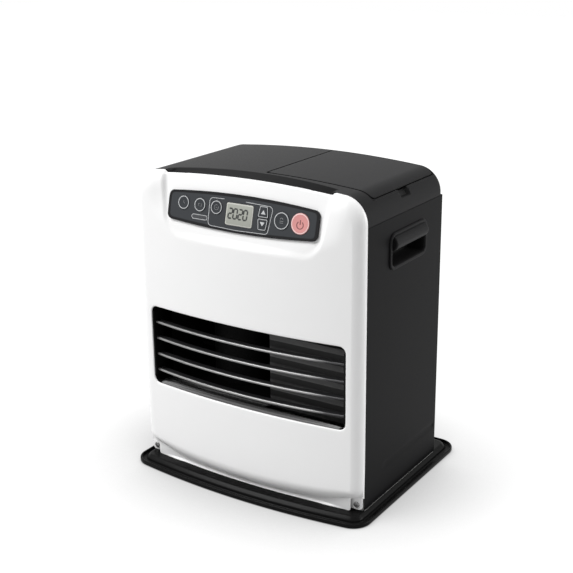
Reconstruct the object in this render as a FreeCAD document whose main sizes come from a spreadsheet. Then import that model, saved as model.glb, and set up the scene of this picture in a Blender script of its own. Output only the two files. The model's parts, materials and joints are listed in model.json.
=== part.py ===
import FreeCAD, Part
import math
import os
from types import SimpleNamespace

import Sketcher
from FreeCAD import Placement, Rotation, Vector

# Fan-forced paraffin heater, in millimetres.
# The origin is the centre of the floor tray's underside.
# The front faces -Y, +X is to the viewer's right, +Z is up.

DIMENSIONS = (
    # Floor tray
    ("tray_side", 12.5, "tray beyond the casing at each side"),
    ("tray_depth", 299, "tray, front to back at the middle of its bowed front"),
    ("tray_corner", 26, "plan radius of the tray's corners"),
    ("tray_bow_radius", 1072, "plan radius of the tray's bowed front edge"),
    ("tray_rim_wall", 3, "thickness of the tray's rim"),
    ("tray_rim_height", 6, "height of the tray's rim"),
    ("tray_gutter", 7, "width of the gutter inside the rim"),
    ("tray_floor", 2, "thickness of the gutter's floor"),
    ("platform_height", 10, "top of the raised platform that carries the heater"),
    ("platform_slope", 5, "bevel round the platform"),
    # Casing
    ("casing_width", 346, "casing, side to side"),
    ("seam_lead", 0.7256, "seam behind the ends of the front panel's upright corners"),
    ("casing_back", 97, "rear face of the casing, behind the origin"),
    ("overall_height", 429, "highest point of the crowned top"),
    ("crown_radius", 1500, "radius of the crowned top"),
    ("shoulder_radius", 34, "radius of the rounded shoulders"),
    ("shoulder_skirt", 3, "straight skirt of the top cover below the shoulders"),
    ("rear_round", 9, "rounding of the top cover's rear edge"),
    ("sheet_wall", 1, "thickness of the steel sheets"),
    ("pan_wall", 1.5, "thickness of the base pan"),
    ("pan_height", 16, "height of the base pan's flanges"),
    ("shell_wall", 2, "thickness of the moulded shells"),
    ("joint_gap", 0.3, "gap between pieces that are fitted together"),
    # Front panel
    ("front_reach", 131, "middle of the bowed front face, ahead of the origin"),
    ("face_radius", 1062, "plan radius of the bowed front face"),
    ("panel_corner", 13, "plan radius of the front panel's upright corners"),
    ("panel_low", 12, "lower edge of the front panel"),
    ("lip_proud", 2, "how far the bottom lip stands ahead of the face"),
    ("lip_depth", 6, "depth of the bottom lip, front to back"),
    ("lip_low", 10.5, "underside of the bottom lip"),
    ("lip_height", 6, "height of the bottom lip"),
    ("lip_half_width", 138, "half the width of the bottom lip"),
    ("tab_plane", 108, "front of the screw tabs, ahead of the origin"),
    ("tab_inner", 141, "inner side of the cut-back corner over a screw tab"),
    ("tab_high", 45, "top of the cut-back corner"),
    ("tab_screw_x", 163, "screw in the tab, from the middle"),
    ("tab_screw_z", 20, "screw in the tab, above the floor"),
    ("screw_head", 4, "radius of a screw's head"),
    ("screw_head_height", 2, "height of a screw's head"),
    ("screw_shank", 1.8, "radius of a screw's shank"),
    ("screw_clearance", 0.1, "radial clearance of a screw's hole"),
    # Grille
    ("window_half_width", 152, "half the width of the grille window"),
    ("window_low", 124.5, "lower edge of the grille window"),
    ("window_high", 236, "upper edge of the grille window"),
    ("window_corner", 9, "corner radius of the grille window"),
    ("window_flange_back", 112, "rear of the window's inward flange, ahead of the origin"),
    ("louvre_radius", 783, "plan radius of the bowed louvres"),
    ("louvre_reach", 128.8, "middle of a louvre's front edge, ahead of the origin"),
    ("louvre_depth", 12, "louvre, front to back"),
    ("louvre_thickness", 3.4, "thickness of a louvre"),
    ("louvre_top", 210.7, "middle of the highest louvre"),
    ("louvre_pitch", 23.2, "distance between louvres"),
    ("grille_end_wall", 2.2, "thickness of the upright plates at the louvres' ends"),
    ("grille_end_front", 119, "front of those plates, ahead of the origin"),
    ("grille_end_back", 99, "rear of those plates, ahead of the origin"),
    # Control panel, on a flat that leans back
    ("control_tilt", 13.7, "lean of the control panel from upright, in degrees"),
    ("control_reach", 117.5, "middle of the control panel, ahead of the origin"),
    ("control_height", 382.3, "middle of the control panel, above the floor"),
    ("recess_half_width", 127, "half the width of the recess round the control panel"),
    ("recess_low", 344, "lower edge of the recess"),
    ("recess_corner", 22, "radius of the recess's lower corners"),
    ("recess_drop", 3.7, "how far the recess's top edge lies below the crown"),
    ("fascia_half_width", 114, "half the width of the control fascia"),
    ("fascia_end_half", 19, "half the fascia's height at its ends"),
    ("fascia_mid_half", 24, "half the fascia's height at its middle"),
    ("fascia_corner", 8, "corner radius of the fascia"),
    ("fascia_thickness", 2.2, "thickness of the fascia"),
    ("floor_opening_half_width", 104.5, "half the width of the opening behind the fascia"),
    ("floor_opening_half_height", 16.5, "half the height of the opening behind the fascia"),
    ("key_radius", 9, "radius of the three round keys on the left"),
    ("key_pitch", 26, "distance between those keys"),
    ("key_first", -89.5, "middle of the first key"),
    ("key_rise", 4.3, "round keys above the panel's middle"),
    ("lock_radius", 11, "radius of the lock key"),
    ("lock_x", 61.2, "middle of the lock key"),
    ("power_radius", 13, "radius of the power key"),
    ("power_x", 88.2, "middle of the power key"),
    ("arrow_x", 34, "middle of the two arrow keys"),
    ("arrow_half_width", 8, "half the width of an arrow key at its wide edge"),
    ("arrow_taper", 2, "how much narrower each side of an arrow key is at its other edge"),
    ("arrow_height", 14.5, "height of an arrow key"),
    ("arrow_gap", 1.2, "gap between the two arrow keys"),
    ("arrow_rise", -0.4, "middle of the gap between the arrow keys, above the panel's middle"),
    ("button_gap", 0.3, "gap round a button in the fascia"),
    ("button_proud", 0.9, "how far a button stands out of the fascia"),
    ("button_flange", 1.2, "width and thickness of a button's retaining flange"),
    ("button_travel", 0.8, "travel of a button"),
    ("switch_half", 2.4, "half the width of the switch under a button"),
    ("display_left", -22.5, "left edge of the display window"),
    ("display_right", 18.5, "right edge of the display window"),
    ("display_low", -15.4, "lower edge of the display window, from the panel's middle"),
    ("display_high", 12.9, "upper edge of the display window, from the panel's middle"),
    ("display_corner", 2.5, "corner radius of the display window"),
    ("lens_x", -62.6, "middle of the indicator lens"),
    ("lens_rise", -11.3, "indicator lens from the panel's middle"),
    ("lens_width", 25, "indicator lens, side to side"),
    ("lens_height", 6, "indicator lens, up and down"),
    ("lens_corner", 1, "corner radius of the indicator lens"),
    ("board_wall", 1.6, "thickness of the circuit boards"),
    ("display_board_depth", 6, "display board behind the recess floor's surface"),
    ("display_board_half_width", 110, "half the width of the display board"),
    ("display_board_half_height", 16, "half the height of the display board"),
    # Tank lid and its hinge
    ("lid_left", 10.5, "left edge of the lid"),
    ("lid_right", 162, "right edge of the lid"),
    ("lid_front", 76, "front edge of the lid, ahead of the origin"),
    ("lid_back", 94, "rear edge of the lid, behind the origin"),
    ("lid_gap", 1, "gap round the lid"),
    ("hinge_gap", 2, "gap along the lid's hinged edge"),
    ("hinge_inset", 12, "hinge pin from the lid's hinged edge"),
    ("hinge_drop", 6.5, "hinge pin below the top"),
    ("hinge_pin_radius", 1.5, "radius of the hinge pin"),
    ("hinge_lug", 3, "outer radius and thickness of the hinge lugs"),
    ("hinge_front", -52, "front hinge, along Y"),
    ("hinge_back", 68, "rear hinge, along Y"),
    ("running_gap", 0.05, "radial clearance of pins and shafts"),
    ("ledge_wall", 2, "thickness of the ledge under the lid"),
    ("ledge_width", 7, "how far the ledge reaches under the lid"),
    ("notch_width", 25, "finger notch, front to back"),
    ("notch_low", 402, "lower edge of the finger notch"),
    ("notch_middle", -2, "middle of the finger notch, along Y"),
    # Hand-holds
    ("hand_width", 94, "hand-hold, front to back"),
    ("hand_height", 42, "hand-hold, up and down"),
    ("hand_corner", 8, "corner radius of the hand-hold"),
    ("hand_y", -1, "middle of the hand-hold, along Y"),
    ("hand_z", 341, "middle of the hand-hold, above the floor"),
    ("hand_depth", 26, "depth of the hand-hold"),
    ("grip_radius", 10, "radius of the rolled grip"),
    # Fuel system
    ("well_left", 24, "left side of the tank well"),
    ("well_side_gap", 0.5, "gap between the tank well and the hand-hold"),
    ("well_front", 70, "front of the tank well, ahead of the origin"),
    ("well_back", 92, "rear of the tank well, behind the origin"),
    ("well_lift", 1.3, "tank well above the sump"),
    ("well_high", 403, "top of the tank well"),
    ("well_mouth_radius", 30, "radius of the hole in the tank well's floor"),
    ("tank_gap", 4, "gap between the tank and its well"),
    ("tank_top", 388, "top of the tank"),
    ("tank_foot", 7.7, "height of the tank's feet"),
    ("tank_foot_size", 16, "width of the tank's feet"),
    ("tank_wall", 1.2, "wall of the tank"),
    ("tank_edge", 6, "rounding of the tank's upright edges"),
    ("cap_radius", 22, "radius of the tank's cap"),
    ("cap_drop", 18, "height of the tank's cap"),
    ("valve_radius", 3, "radius of the cap's valve stem"),
    ("valve_drop", 6, "how far the valve stem stands out of the cap"),
    ("carry_rise", 12, "height of the tank's carrying handle"),
    ("carry_width", 70, "length of the tank's carrying handle"),
    ("carry_depth", 24, "tank's carrying handle, front to back"),
    ("carry_post", 12, "width of the carrying handle's posts"),
    ("carry_bar", 4, "thickness of the carrying handle's bar"),
    ("sump_left", -4, "left side of the sump"),
    ("sump_low", 40, "underside of the sump"),
    ("sump_high", 94, "top of the sump"),
    ("sump_wall", 1.5, "wall of the sump"),
    ("port_radius", 25, "radius of the sump's port"),
    ("strainer_drop", 34, "depth of the fuel filter's cup"),
    ("strainer_wall", 0.8, "wall of the fuel filter's cup"),
    ("strainer_flange", 3, "width of the fuel filter's flange"),
    ("pump_x", 11, "middle of the fuel pump"),
    ("pump_y", 79, "middle of the fuel pump, along Y"),
    ("pump_radius", 11, "radius of the fuel pump"),
    ("pump_high", 150, "top of the fuel pump"),
    ("pump_core_radius", 5.5, "radius of the fuel pump's core"),
    ("pump_core_height", 11, "how far the fuel pump's core stands up"),
    ("pipe_radius", 2.5, "radius of the fuel pipe"),
    ("pipe_rise", 10, "fuel pipe above the sump"),
    ("pipe_bend", 15, "bend radius of the fuel pipe"),
    # Burner
    ("burner_x", -70, "middle of the burner"),
    ("burner_y", -15, "middle of the burner, along Y"),
    ("stand_radius", 34, "radius of the burner's stand"),
    ("stand_high", 62, "top of the burner's stand"),
    ("pot_radius", 38, "radius of the burner pot"),
    ("pot_wall", 4, "wall of the burner pot"),
    ("pot_rim", 14, "rim of the burner pot above the fuel pipe"),
    ("head_radius", 20, "radius of the burner head"),
    ("head_rise", 22, "burner head above the pot's rim"),
    ("chamber_radius", 44, "radius of the combustion chamber"),
    ("chamber_wall", 1.5, "wall of the combustion chamber"),
    ("chamber_high", 230, "top of the combustion chamber"),
    ("rod_radius", 2.5, "radius of the igniter and the flame rod"),
    ("rod_reach", 74, "outer end of the igniter and the flame rod from the burner's middle"),
    ("rod_tip", 24, "inner end of the igniter and the flame rod from the burner's middle"),
    ("collar_radius", 5, "radius of their insulating collars"),
    ("collar_length", 8, "length of their insulating collars"),
    ("igniter_height", 95, "height of the igniter"),
    ("flame_rod_height", 150, "height of the flame rod"),
    ("duct_left", -152, "left side of the heat duct"),
    ("duct_right", 18, "right side of the heat duct"),
    ("duct_front", 78, "front of the heat duct, ahead of the origin"),
    ("duct_back", 58, "rear of the heat duct, behind the origin"),
    ("duct_drop", 1.8, "underside of the heat duct below the pot's rim"),
    ("duct_high", 240, "top of the heat duct"),
    ("shield_plane", 92, "face of the outlet shield, ahead of the origin"),
    ("shield_left", 22, "left edge of the outlet shield"),
    ("fin_reach", 8, "how far the shield's fins stand forward"),
    ("shield_skirt", 9.3, "how far the shield's plate reaches below its lowest fin"),
    ("fin_slope", 4, "drop of a fin from front to back"),
    # Combustion air blower
    ("blower_x", -130, "middle of the blower"),
    ("blower_y", 40, "middle of the blower, along Y"),
    ("blower_radius", 34, "radius of the blower's housing"),
    ("blower_high", 55, "top of the blower's housing"),
    ("impeller_radius", 27, "radius of the impeller"),
    ("impeller_low", 19, "underside of the impeller"),
    ("impeller_high", 47, "top of the impeller"),
    ("impeller_hub", 9, "radius of the impeller's hub"),
    ("impeller_blade", 1, "thickness of the impeller's blades"),
    ("motor_end", 4, "closed end of the blower's motor"),
    ("blower_motor_radius", 20, "radius of the blower's motor"),
    ("blower_motor_high", 95, "top of the blower's motor"),
    ("air_tube_radius", 9, "radius of the air tube"),
    # Convection fan at the back
    ("fan_x", -68, "middle of the fan"),
    ("fan_z", 186, "middle of the fan, above the floor"),
    ("fan_radius", 72, "radius of the fan's blades"),
    ("fan_hub", 17, "radius of the fan's hub"),
    ("fan_front", 64, "front of the fan, along Y"),
    ("fan_back", 90, "rear of the fan, along Y"),
    ("fan_opening", 82, "radius of the opening in the rear panel"),
    ("shaft_radius", 3, "radius of the fan and blower shafts"),
    ("fan_blade_chord", 28, "width of a fan blade across the flow"),
    ("fan_blade_wall", 2, "thickness of a fan blade"),
    ("fan_motor_radius", 27, "radius of the fan's motor"),
    ("fan_motor_gap", 12, "gap between the fan and its motor"),
    ("guard_outer", 92, "outer radius of the fan guard"),
    ("guard_flange", 8, "width of the fan guard's flange"),
    ("guard_depth", 36, "how far the fan guard stands out"),
    ("guard_wire", 1.4, "radius of the guard's rings"),
    ("guard_rib", 3, "thickness of the guard's ribs"),
    ("guard_disc", 32, "radius of the guard's middle disc"),
    ("frame_half", 97, "half the outer size of the filter frame"),
    ("frame_wall", 3, "wall of the filter frame"),
    ("frame_depth", 49, "how far the filter frame stands out"),
    ("filter_thickness", 3, "thickness of the air filter"),
    ("filter_border", 8, "border of the air filter"),
    ("filter_rib", 2, "width of the air filter's ribs"),
    ("filter_net", 1, "thickness of the air filter's mesh"),
    ("filter_tab", 32, "width of the air filter's pull tab"),
    ("filter_back", 45, "rear of the air filter from the casing"),
    ("filter_groove", 1.5, "depth of the groove that holds the filter"),
    # Electronics and fittings
    ("main_board_low", 252, "lower edge of the main board"),
    ("main_board_high", 312, "upper edge of the main board"),
    ("main_board_half", 80, "half the length of the main board"),
    ("main_board_stand", 7, "posts that hold the main board off the side"),
    ("board_post_radius", 2, "radius of the posts that hold the boards"),
    ("relay_length", 20, "relay on the main board, front to back"),
    ("relay_height", 32, "relay on the main board, up and down"),
    ("relay_depth", 16, "how far the relay and capacitor stand off the main board"),
    ("capacitor_radius", 7, "radius of the capacitor on the main board"),
    ("transformer_width", 48, "transformer, side to side"),
    ("transformer_depth", 32, "transformer, front to back"),
    ("transformer_height", 32, "transformer, up and down"),
    ("transformer_front", 16, "transformer behind the seam"),
    ("coil_inset", 5, "coil inside the ends of the transformer's core"),
    ("coil_overhang", 4.5, "how far the coil stands out of the transformer's core"),
    ("tip_switch_size", 24, "tip-over switch, each way"),
    ("tip_switch_front", 8, "tip-over switch behind the seam"),
    ("gland_x", 125, "cord gland, from the middle"),
    ("gland_z", 42, "cord gland, above the floor"),
    ("gland_radius", 9, "radius of the cord gland"),
    ("gland_bore", 3.8, "radius of the cord gland's bore"),
    ("gland_length", 13, "how far the cord gland stands out"),
    ("gland_flange_radius", 12.6, "radius of the cord gland's flange"),
    ("gland_flange_wall", 3.25, "thickness of the cord gland's flange"),
    ("sensor_x", 150, "room sensor, from the middle"),
    ("sensor_z", 120, "room sensor, above the floor"),
    ("sensor_length", 18, "how far the room sensor stands out"),
    ("sensor_radius", 2, "radius of the room sensor"),
    ("sensor_clip_radius", 4, "radius of the room sensor's clip"),
    ("sensor_clip_length", 6, "length of the room sensor's clip"),
)

LOUVRES = 4
FAN_BLADES = 5
IMPELLER_BLADES = 12
GUARD_RIBS = 8
GUARD_RINGS = 6
FILTER_RIBS = 4
BEYOND = 60  # how far a cutting block reaches past what it cuts

doc = FreeCAD.newDocument("paraffin_heater")
sheet = doc.addObject("Spreadsheet::Sheet", "Dimensions")


class Size:
    """A length or angle as an expression on the sheet, with the number it comes to now."""

    def __init__(self, text, value):
        self.text = text
        self.value = value

    def __add__(self, other):
        other = as_size(other)
        return Size(f"({self.text} + {other.text})", self.value + other.value)

    def __sub__(self, other):
        other = as_size(other)
        return Size(f"({self.text} - {other.text})", self.value - other.value)

    def __mul__(self, other):
        other = as_size(other)
        return Size(f"({self.text} * {other.text})", self.value * other.value)

    def __truediv__(self, other):
        other = as_size(other)
        return Size(f"({self.text} / {other.text})", self.value / other.value)

    def __radd__(self, other):
        return as_size(other) + self

    def __rsub__(self, other):
        return as_size(other) - self

    def __rmul__(self, other):
        return as_size(other) * self

    def __neg__(self):
        return Size(f"(0 - {self.text})", -self.value)


def as_size(value):
    return value if isinstance(value, Size) else Size(f"({float(value)!r})", float(value))


def root(size):
    return Size(f"sqrt({size.text})", math.sqrt(size.value))


def sine(angle):
    return Size(f"sin({angle.text})", math.sin(math.radians(angle.value)))


def cosine(angle):
    return Size(f"cos({angle.text})", math.cos(math.radians(angle.value)))


def fill_sheet():
    """Write every driving dimension to the sheet and return them as sizes."""
    sizes = {}
    for row, (name, value, note) in enumerate(DIMENSIONS, 1):
        sheet.set(f"A{row}", name)
        sheet.set(f"B{row}", str(value))
        sheet.setAlias(f"B{row}", name)
        sheet.set(f"C{row}", note)
        sizes[name] = Size(f"Dimensions.{name}", float(value))
    doc.recompute()
    return SimpleNamespace(**sizes)


def put(item, path, size):
    """Bind a property to a size."""
    item.setExpression(path, as_size(size).text)


def box(name, x, y, z):
    """A block between two values on each axis."""
    block = doc.addObject("Part::Box", name)
    for axis, side, (low, high) in zip("xyz", ("Length", "Width", "Height"), (x, y, z)):
        put(block, side, as_size(high) - low)
        put(block, f"Placement.Base.{axis}", low)
    return block


AXIS_TURNS = {
    "x": Rotation(Vector(0, 1, 0), 90),
    "y": Rotation(Vector(1, 0, 0), -90),
    "z": Rotation(),
}


def rod(name, axis, centre, low, high, radius):
    """A cylinder along an axis, between two values on it; centre holds the other two coordinates in order."""
    cylinder = doc.addObject("Part::Cylinder", name)
    cylinder.Placement = Placement(Vector(), AXIS_TURNS[axis])
    put(cylinder, "Radius", radius)
    put(cylinder, "Height", as_size(high) - low)
    others = iter(centre)
    for letter in "xyz":
        put(cylinder, f"Placement.Base.{letter}", low if letter == axis else next(others))
    return cylinder


def fuse(name, *pieces):
    joined = doc.addObject("Part::MultiFuse", name)
    joined.Shapes = list(pieces)
    joined.Refine = True
    return joined


def common(name, *pieces):
    overlap = doc.addObject("Part::MultiCommon", name)
    overlap.Shapes = list(pieces)
    return overlap


def cut(name, base, *tools):
    trimmed = doc.addObject("Part::Cut", name)
    trimmed.Base = base
    trimmed.Tool = tools[0] if len(tools) == 1 else fuse(f"{name}_tools", *tools)
    trimmed.Refine = True
    return trimmed


def group(name, *pieces):
    """Separate solids that share one node."""
    together = doc.addObject("Part::Compound", name)
    together.Links = list(pieces)
    return together


def tube(name, axis, centre, low, high, outer, inner):
    """A ring or pipe between two radii."""
    shell = rod(f"{name}_outer", axis, centre, low, high, outer)
    bore = rod(f"{name}_bore", axis, centre, as_size(low) - 1, as_size(high) + 1, inner)
    return cut(name, shell, bore)


def arc_edge(start, end, side, radius):
    """The minor arc from start to end that turns to the given side."""
    chord = end - start
    half = chord.Length / 2
    height = math.sqrt(max(radius ** 2 - half ** 2, 0))
    leftward = Vector(-chord.y, chord.x, 0).normalize()
    centre = (start + end) * 0.5 + leftward * (height if side == "left" else -height)
    first, last = (start, end) if side == "left" else (end, start)
    angles = [math.atan2(point.y - centre.y, point.x - centre.x) for point in (first, last)]
    return Part.ArcOfCircle(Part.Circle(centre, Vector(0, 0, 1), radius), *angles)


def draw(sketch, outline):
    """Draw a closed outline. Each corner is (x, y, bend); bend, a side and a radius, curves the next edge."""
    corners = [Vector(x.value, y.value, 0) for x, y, bend in outline]
    count = len(outline)
    ends = []
    for index, (x, y, bend) in enumerate(outline):
        start, end = corners[index], corners[(index + 1) % count]
        if bend is None:
            sketch.addGeometry(Part.LineSegment(start, end), False)
        else:
            sketch.addGeometry(arc_edge(start, end, bend[0], bend[1].value), False)
        ends.append((2, 1) if bend is not None and bend[0] == "right" else (1, 2))
    for index in range(count):
        after = (index + 1) % count
        sketch.addConstraint(Sketcher.Constraint("Coincident", index, ends[index][1], after, ends[after][0]))
    for index, (x, y, bend) in enumerate(outline):
        for kind, size in (("DistanceX", x), ("DistanceY", y)):
            number = sketch.addConstraint(Sketcher.Constraint(kind, -1, 1, index, ends[index][0], size.value))
            put(sketch, f"Constraints[{number}]", size)
        if bend is not None:
            number = sketch.addConstraint(Sketcher.Constraint("Radius", index, bend[1].value))
            put(sketch, f"Constraints[{number}]", bend[1])


def origin_feature(body, role):
    return next(feature for feature in body.Origin.OriginFeatures if feature.Role == role)


def add_sketch(body, name, plane, outline, offset):
    """A sketch on one of the body's own planes; XY faces +Z, YZ faces +X and XZ faces -Y."""
    sketch = body.newObject("Sketcher::SketchObject", name)
    sketch.AttachmentSupport = [(origin_feature(body, f"{plane}_Plane"), "")]
    sketch.MapMode = "FlatFace"
    draw(sketch, [(as_size(x), as_size(y), bend) for x, y, bend in outline])
    put(sketch, "AttachmentOffset.Base.z", offset)
    return sketch


def prism(name, plane, outline, low, high):
    """A body padded from an outline between two values on the plane's own axis."""
    body = doc.addObject("PartDesign::Body", name)
    offset = -as_size(high) if plane == "XZ" else as_size(low)
    sketch = add_sketch(body, f"{name}_outline", plane, outline, offset)
    pad = body.newObject("PartDesign::Pad", f"{name}_pad")
    pad.Profile = sketch
    put(pad, "Length", as_size(high) - low)
    body.Tip = pad
    return body


def dress(body, kind, name, property_name, size, chosen):
    """Fillet or chamfer the edges of a body's tip that the chosen test picks."""
    doc.recompute()
    tip = body.Tip
    edges = [f"Edge{number}" for number, edge in enumerate(tip.Shape.Edges, 1) if chosen(edge)]
    feature = body.newObject(f"PartDesign::{kind}", name)
    feature.Base = (tip, edges)
    put(feature, property_name, size)
    body.Tip = feature
    return body


def polygon(*points):
    return [(x, y, None) for x, y in points]


def rounded_rectangle(left, right, low, high, radius):
    left, right, low, high, radius = (as_size(value) for value in (left, right, low, high, radius))
    turn = ("left", radius)
    return [
        (left + radius, low, None),
        (right - radius, low, turn),
        (right, low + radius, None),
        (right, high - radius, turn),
        (right - radius, high, None),
        (left + radius, high, turn),
        (left, high - radius, None),
        (left, low + radius, turn),
    ]


def bowed_plan(half, reach, bow_radius, corner, back, inset, back_corner=None):
    """A plan outline with a bowed front, tangent front corners and square or round rear corners, drawn in."""
    centre_y = bow_radius - reach
    reach_back, reach_side = bow_radius - corner, half - corner
    corner_y = centre_y - root(reach_back * reach_back - reach_side * reach_side)
    share = (bow_radius - inset) / (bow_radius - corner)
    touch_x = (half - corner) * share
    touch_y = centre_y + (corner_y - centre_y) * share
    side = half - inset
    turn = ("left", corner - inset)
    front = [
        (-side, corner_y, turn),
        (-touch_x, touch_y, ("left", bow_radius - inset)),
        (touch_x, touch_y, turn),
        (side, corner_y, None),
    ]
    rear = back - inset
    if back_corner is None:
        return front + [(side, rear, None), (-side, rear, None)]
    rear_turn = ("left", back_corner - inset)
    return front + [
        (side, back - back_corner, rear_turn),
        (half - back_corner, rear, None),
        (back_corner - half, rear, rear_turn),
        (-side, back - back_corner, None),
    ]


def span(side, near, far):
    """A range of x on the right, or the same range mirrored on the left."""
    near, far = as_size(near), as_size(far)
    return (near, far) if side > 0 else (-far, -near)


d = fill_sheet()

# Levels and places that several pieces share
half_casing = d.casing_width / 2
pan_floor = d.platform_height + d.pan_wall
crown_centre = d.overall_height - d.crown_radius
shoulder_x = half_casing - d.shoulder_radius
shoulder_reach = d.crown_radius - d.shoulder_radius
shoulder_z = crown_centre + root(shoulder_reach * shoulder_reach - shoulder_x * shoulder_x)
side_high = shoulder_z - d.shoulder_skirt - d.joint_gap
side_low = d.platform_height + d.joint_gap
corner_reach = d.face_radius - d.panel_corner
corner_side = half_casing - d.panel_corner
corner_end = d.face_radius - d.front_reach - root(corner_reach * corner_reach - corner_side * corner_side)
seam = corner_end + d.seam_lead
behind_seam = seam + d.joint_gap
hinge_x = d.lid_left + d.hinge_inset
hinge_z = d.overall_height - d.hinge_drop
well_right = half_casing - d.hand_depth - d.well_side_gap
well_low = d.sump_high + d.well_lift
pipe_height = d.sump_high + d.pipe_rise
pot_high = pipe_height + d.pot_rim
head_high = pot_high + d.head_rise
duct_low = pot_high - d.duct_drop
cap_x = (d.well_left + well_right) / 2
cap_y = (d.well_back - d.well_front) / 2
cap_place = (cap_x, cap_y)
well_floor = well_low + d.sheet_wall
tank_low = well_floor + d.tank_foot


def casing_outline(inset, low):
    """The casing seen from the front: upright sides, round shoulders and a crowned top, drawn in by inset."""
    inset = as_size(inset)
    share = (d.crown_radius - inset) / shoulder_reach
    touch_x = shoulder_x * share
    touch_z = crown_centre + (shoulder_z - crown_centre) * share
    side = half_casing - inset
    shoulder = ("left", d.shoulder_radius - inset)
    return [
        (-side, low, None),
        (side, low, None),
        (side, shoulder_z, shoulder),
        (touch_x, touch_z, ("left", d.crown_radius - inset)),
        (-touch_x, touch_z, shoulder),
        (-side, shoulder_z, None),
    ]


def build_tray():
    """Tray: a floor with an upright rim, and a bevelled platform inside the gutter."""
    half, reach = half_casing + d.tray_side, d.tray_depth / 2

    def plan(inset):
        return bowed_plan(half, reach, d.tray_bow_radius, d.tray_corner, reach, as_size(inset), d.tray_corner)

    rim_block = prism("tray_rim", "XY", plan(0), 0, d.tray_rim_height)
    hollow = prism("tray_hollow", "XY", plan(d.tray_rim_wall), d.tray_floor, d.tray_rim_height + 1)
    platform_inset = d.tray_rim_wall + d.tray_gutter
    platform = prism("tray_platform", "XY", plan(platform_inset), d.tray_floor / 2, d.platform_height)
    top = d.platform_height.value
    dress(platform, "Chamfer", "platform_bevel", "Size", d.platform_slope,
          lambda edge: all(abs(vertex.Z - top) < 0.01 for vertex in edge.Vertexes))
    return fuse("base_tray", cut("tray_dish", rim_block, hollow), platform)


def build_chassis():
    """Base pan with flanges on all four sides."""
    wide = half_casing - d.sheet_wall - d.joint_gap
    front, back = seam + d.pan_wall, d.casing_back - d.sheet_wall - d.joint_gap
    high = d.platform_height + d.pan_height
    block = box("pan_block", (-wide, wide), (front, back), (d.platform_height, high))
    hollow = box("pan_hollow", (-wide + d.pan_wall, wide - d.pan_wall),
                 (front + d.pan_wall, back - d.pan_wall), (pan_floor, high + 1))
    return cut("chassis_base", block, hollow)


def on_controls(item):
    """Seat a piece made flat on XY on the leaning control panel: Y becomes up the slope and Z points out."""
    item.Placement = Placement(Vector(), Rotation(Vector(1, 0, 0), 90 - d.control_tilt.value))
    put(item, "Placement.Rotation.Angle", 90 - d.control_tilt)
    put(item, "Placement.Base.y", -d.control_reach)
    put(item, "Placement.Base.z", d.control_height)
    return item


def recess_region(name, grow):
    """The space cut out above the leaning floor of the control recess, grown by a wall."""
    grow = as_size(grow)
    lean = sine(d.control_tilt) / cosine(d.control_tilt)
    back = -d.control_reach + grow / cosine(d.control_tilt)
    low, high = d.recess_low - grow, d.overall_height + BEYOND
    ahead = -d.front_reach - BEYOND
    wide = d.recess_half_width + grow
    wedge = prism(f"{name}_wedge", "YZ", polygon(
        (ahead, low), (back + (low - d.control_height) * lean, low),
        (back + (high - d.control_height) * lean, high), (ahead, high)), -wide, wide)
    face = prism(f"{name}_face", "XZ", rounded_rectangle(
        -wide, wide, low, high + BEYOND, d.recess_corner + grow), ahead, 0)
    return common(name, wedge, face)


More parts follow.
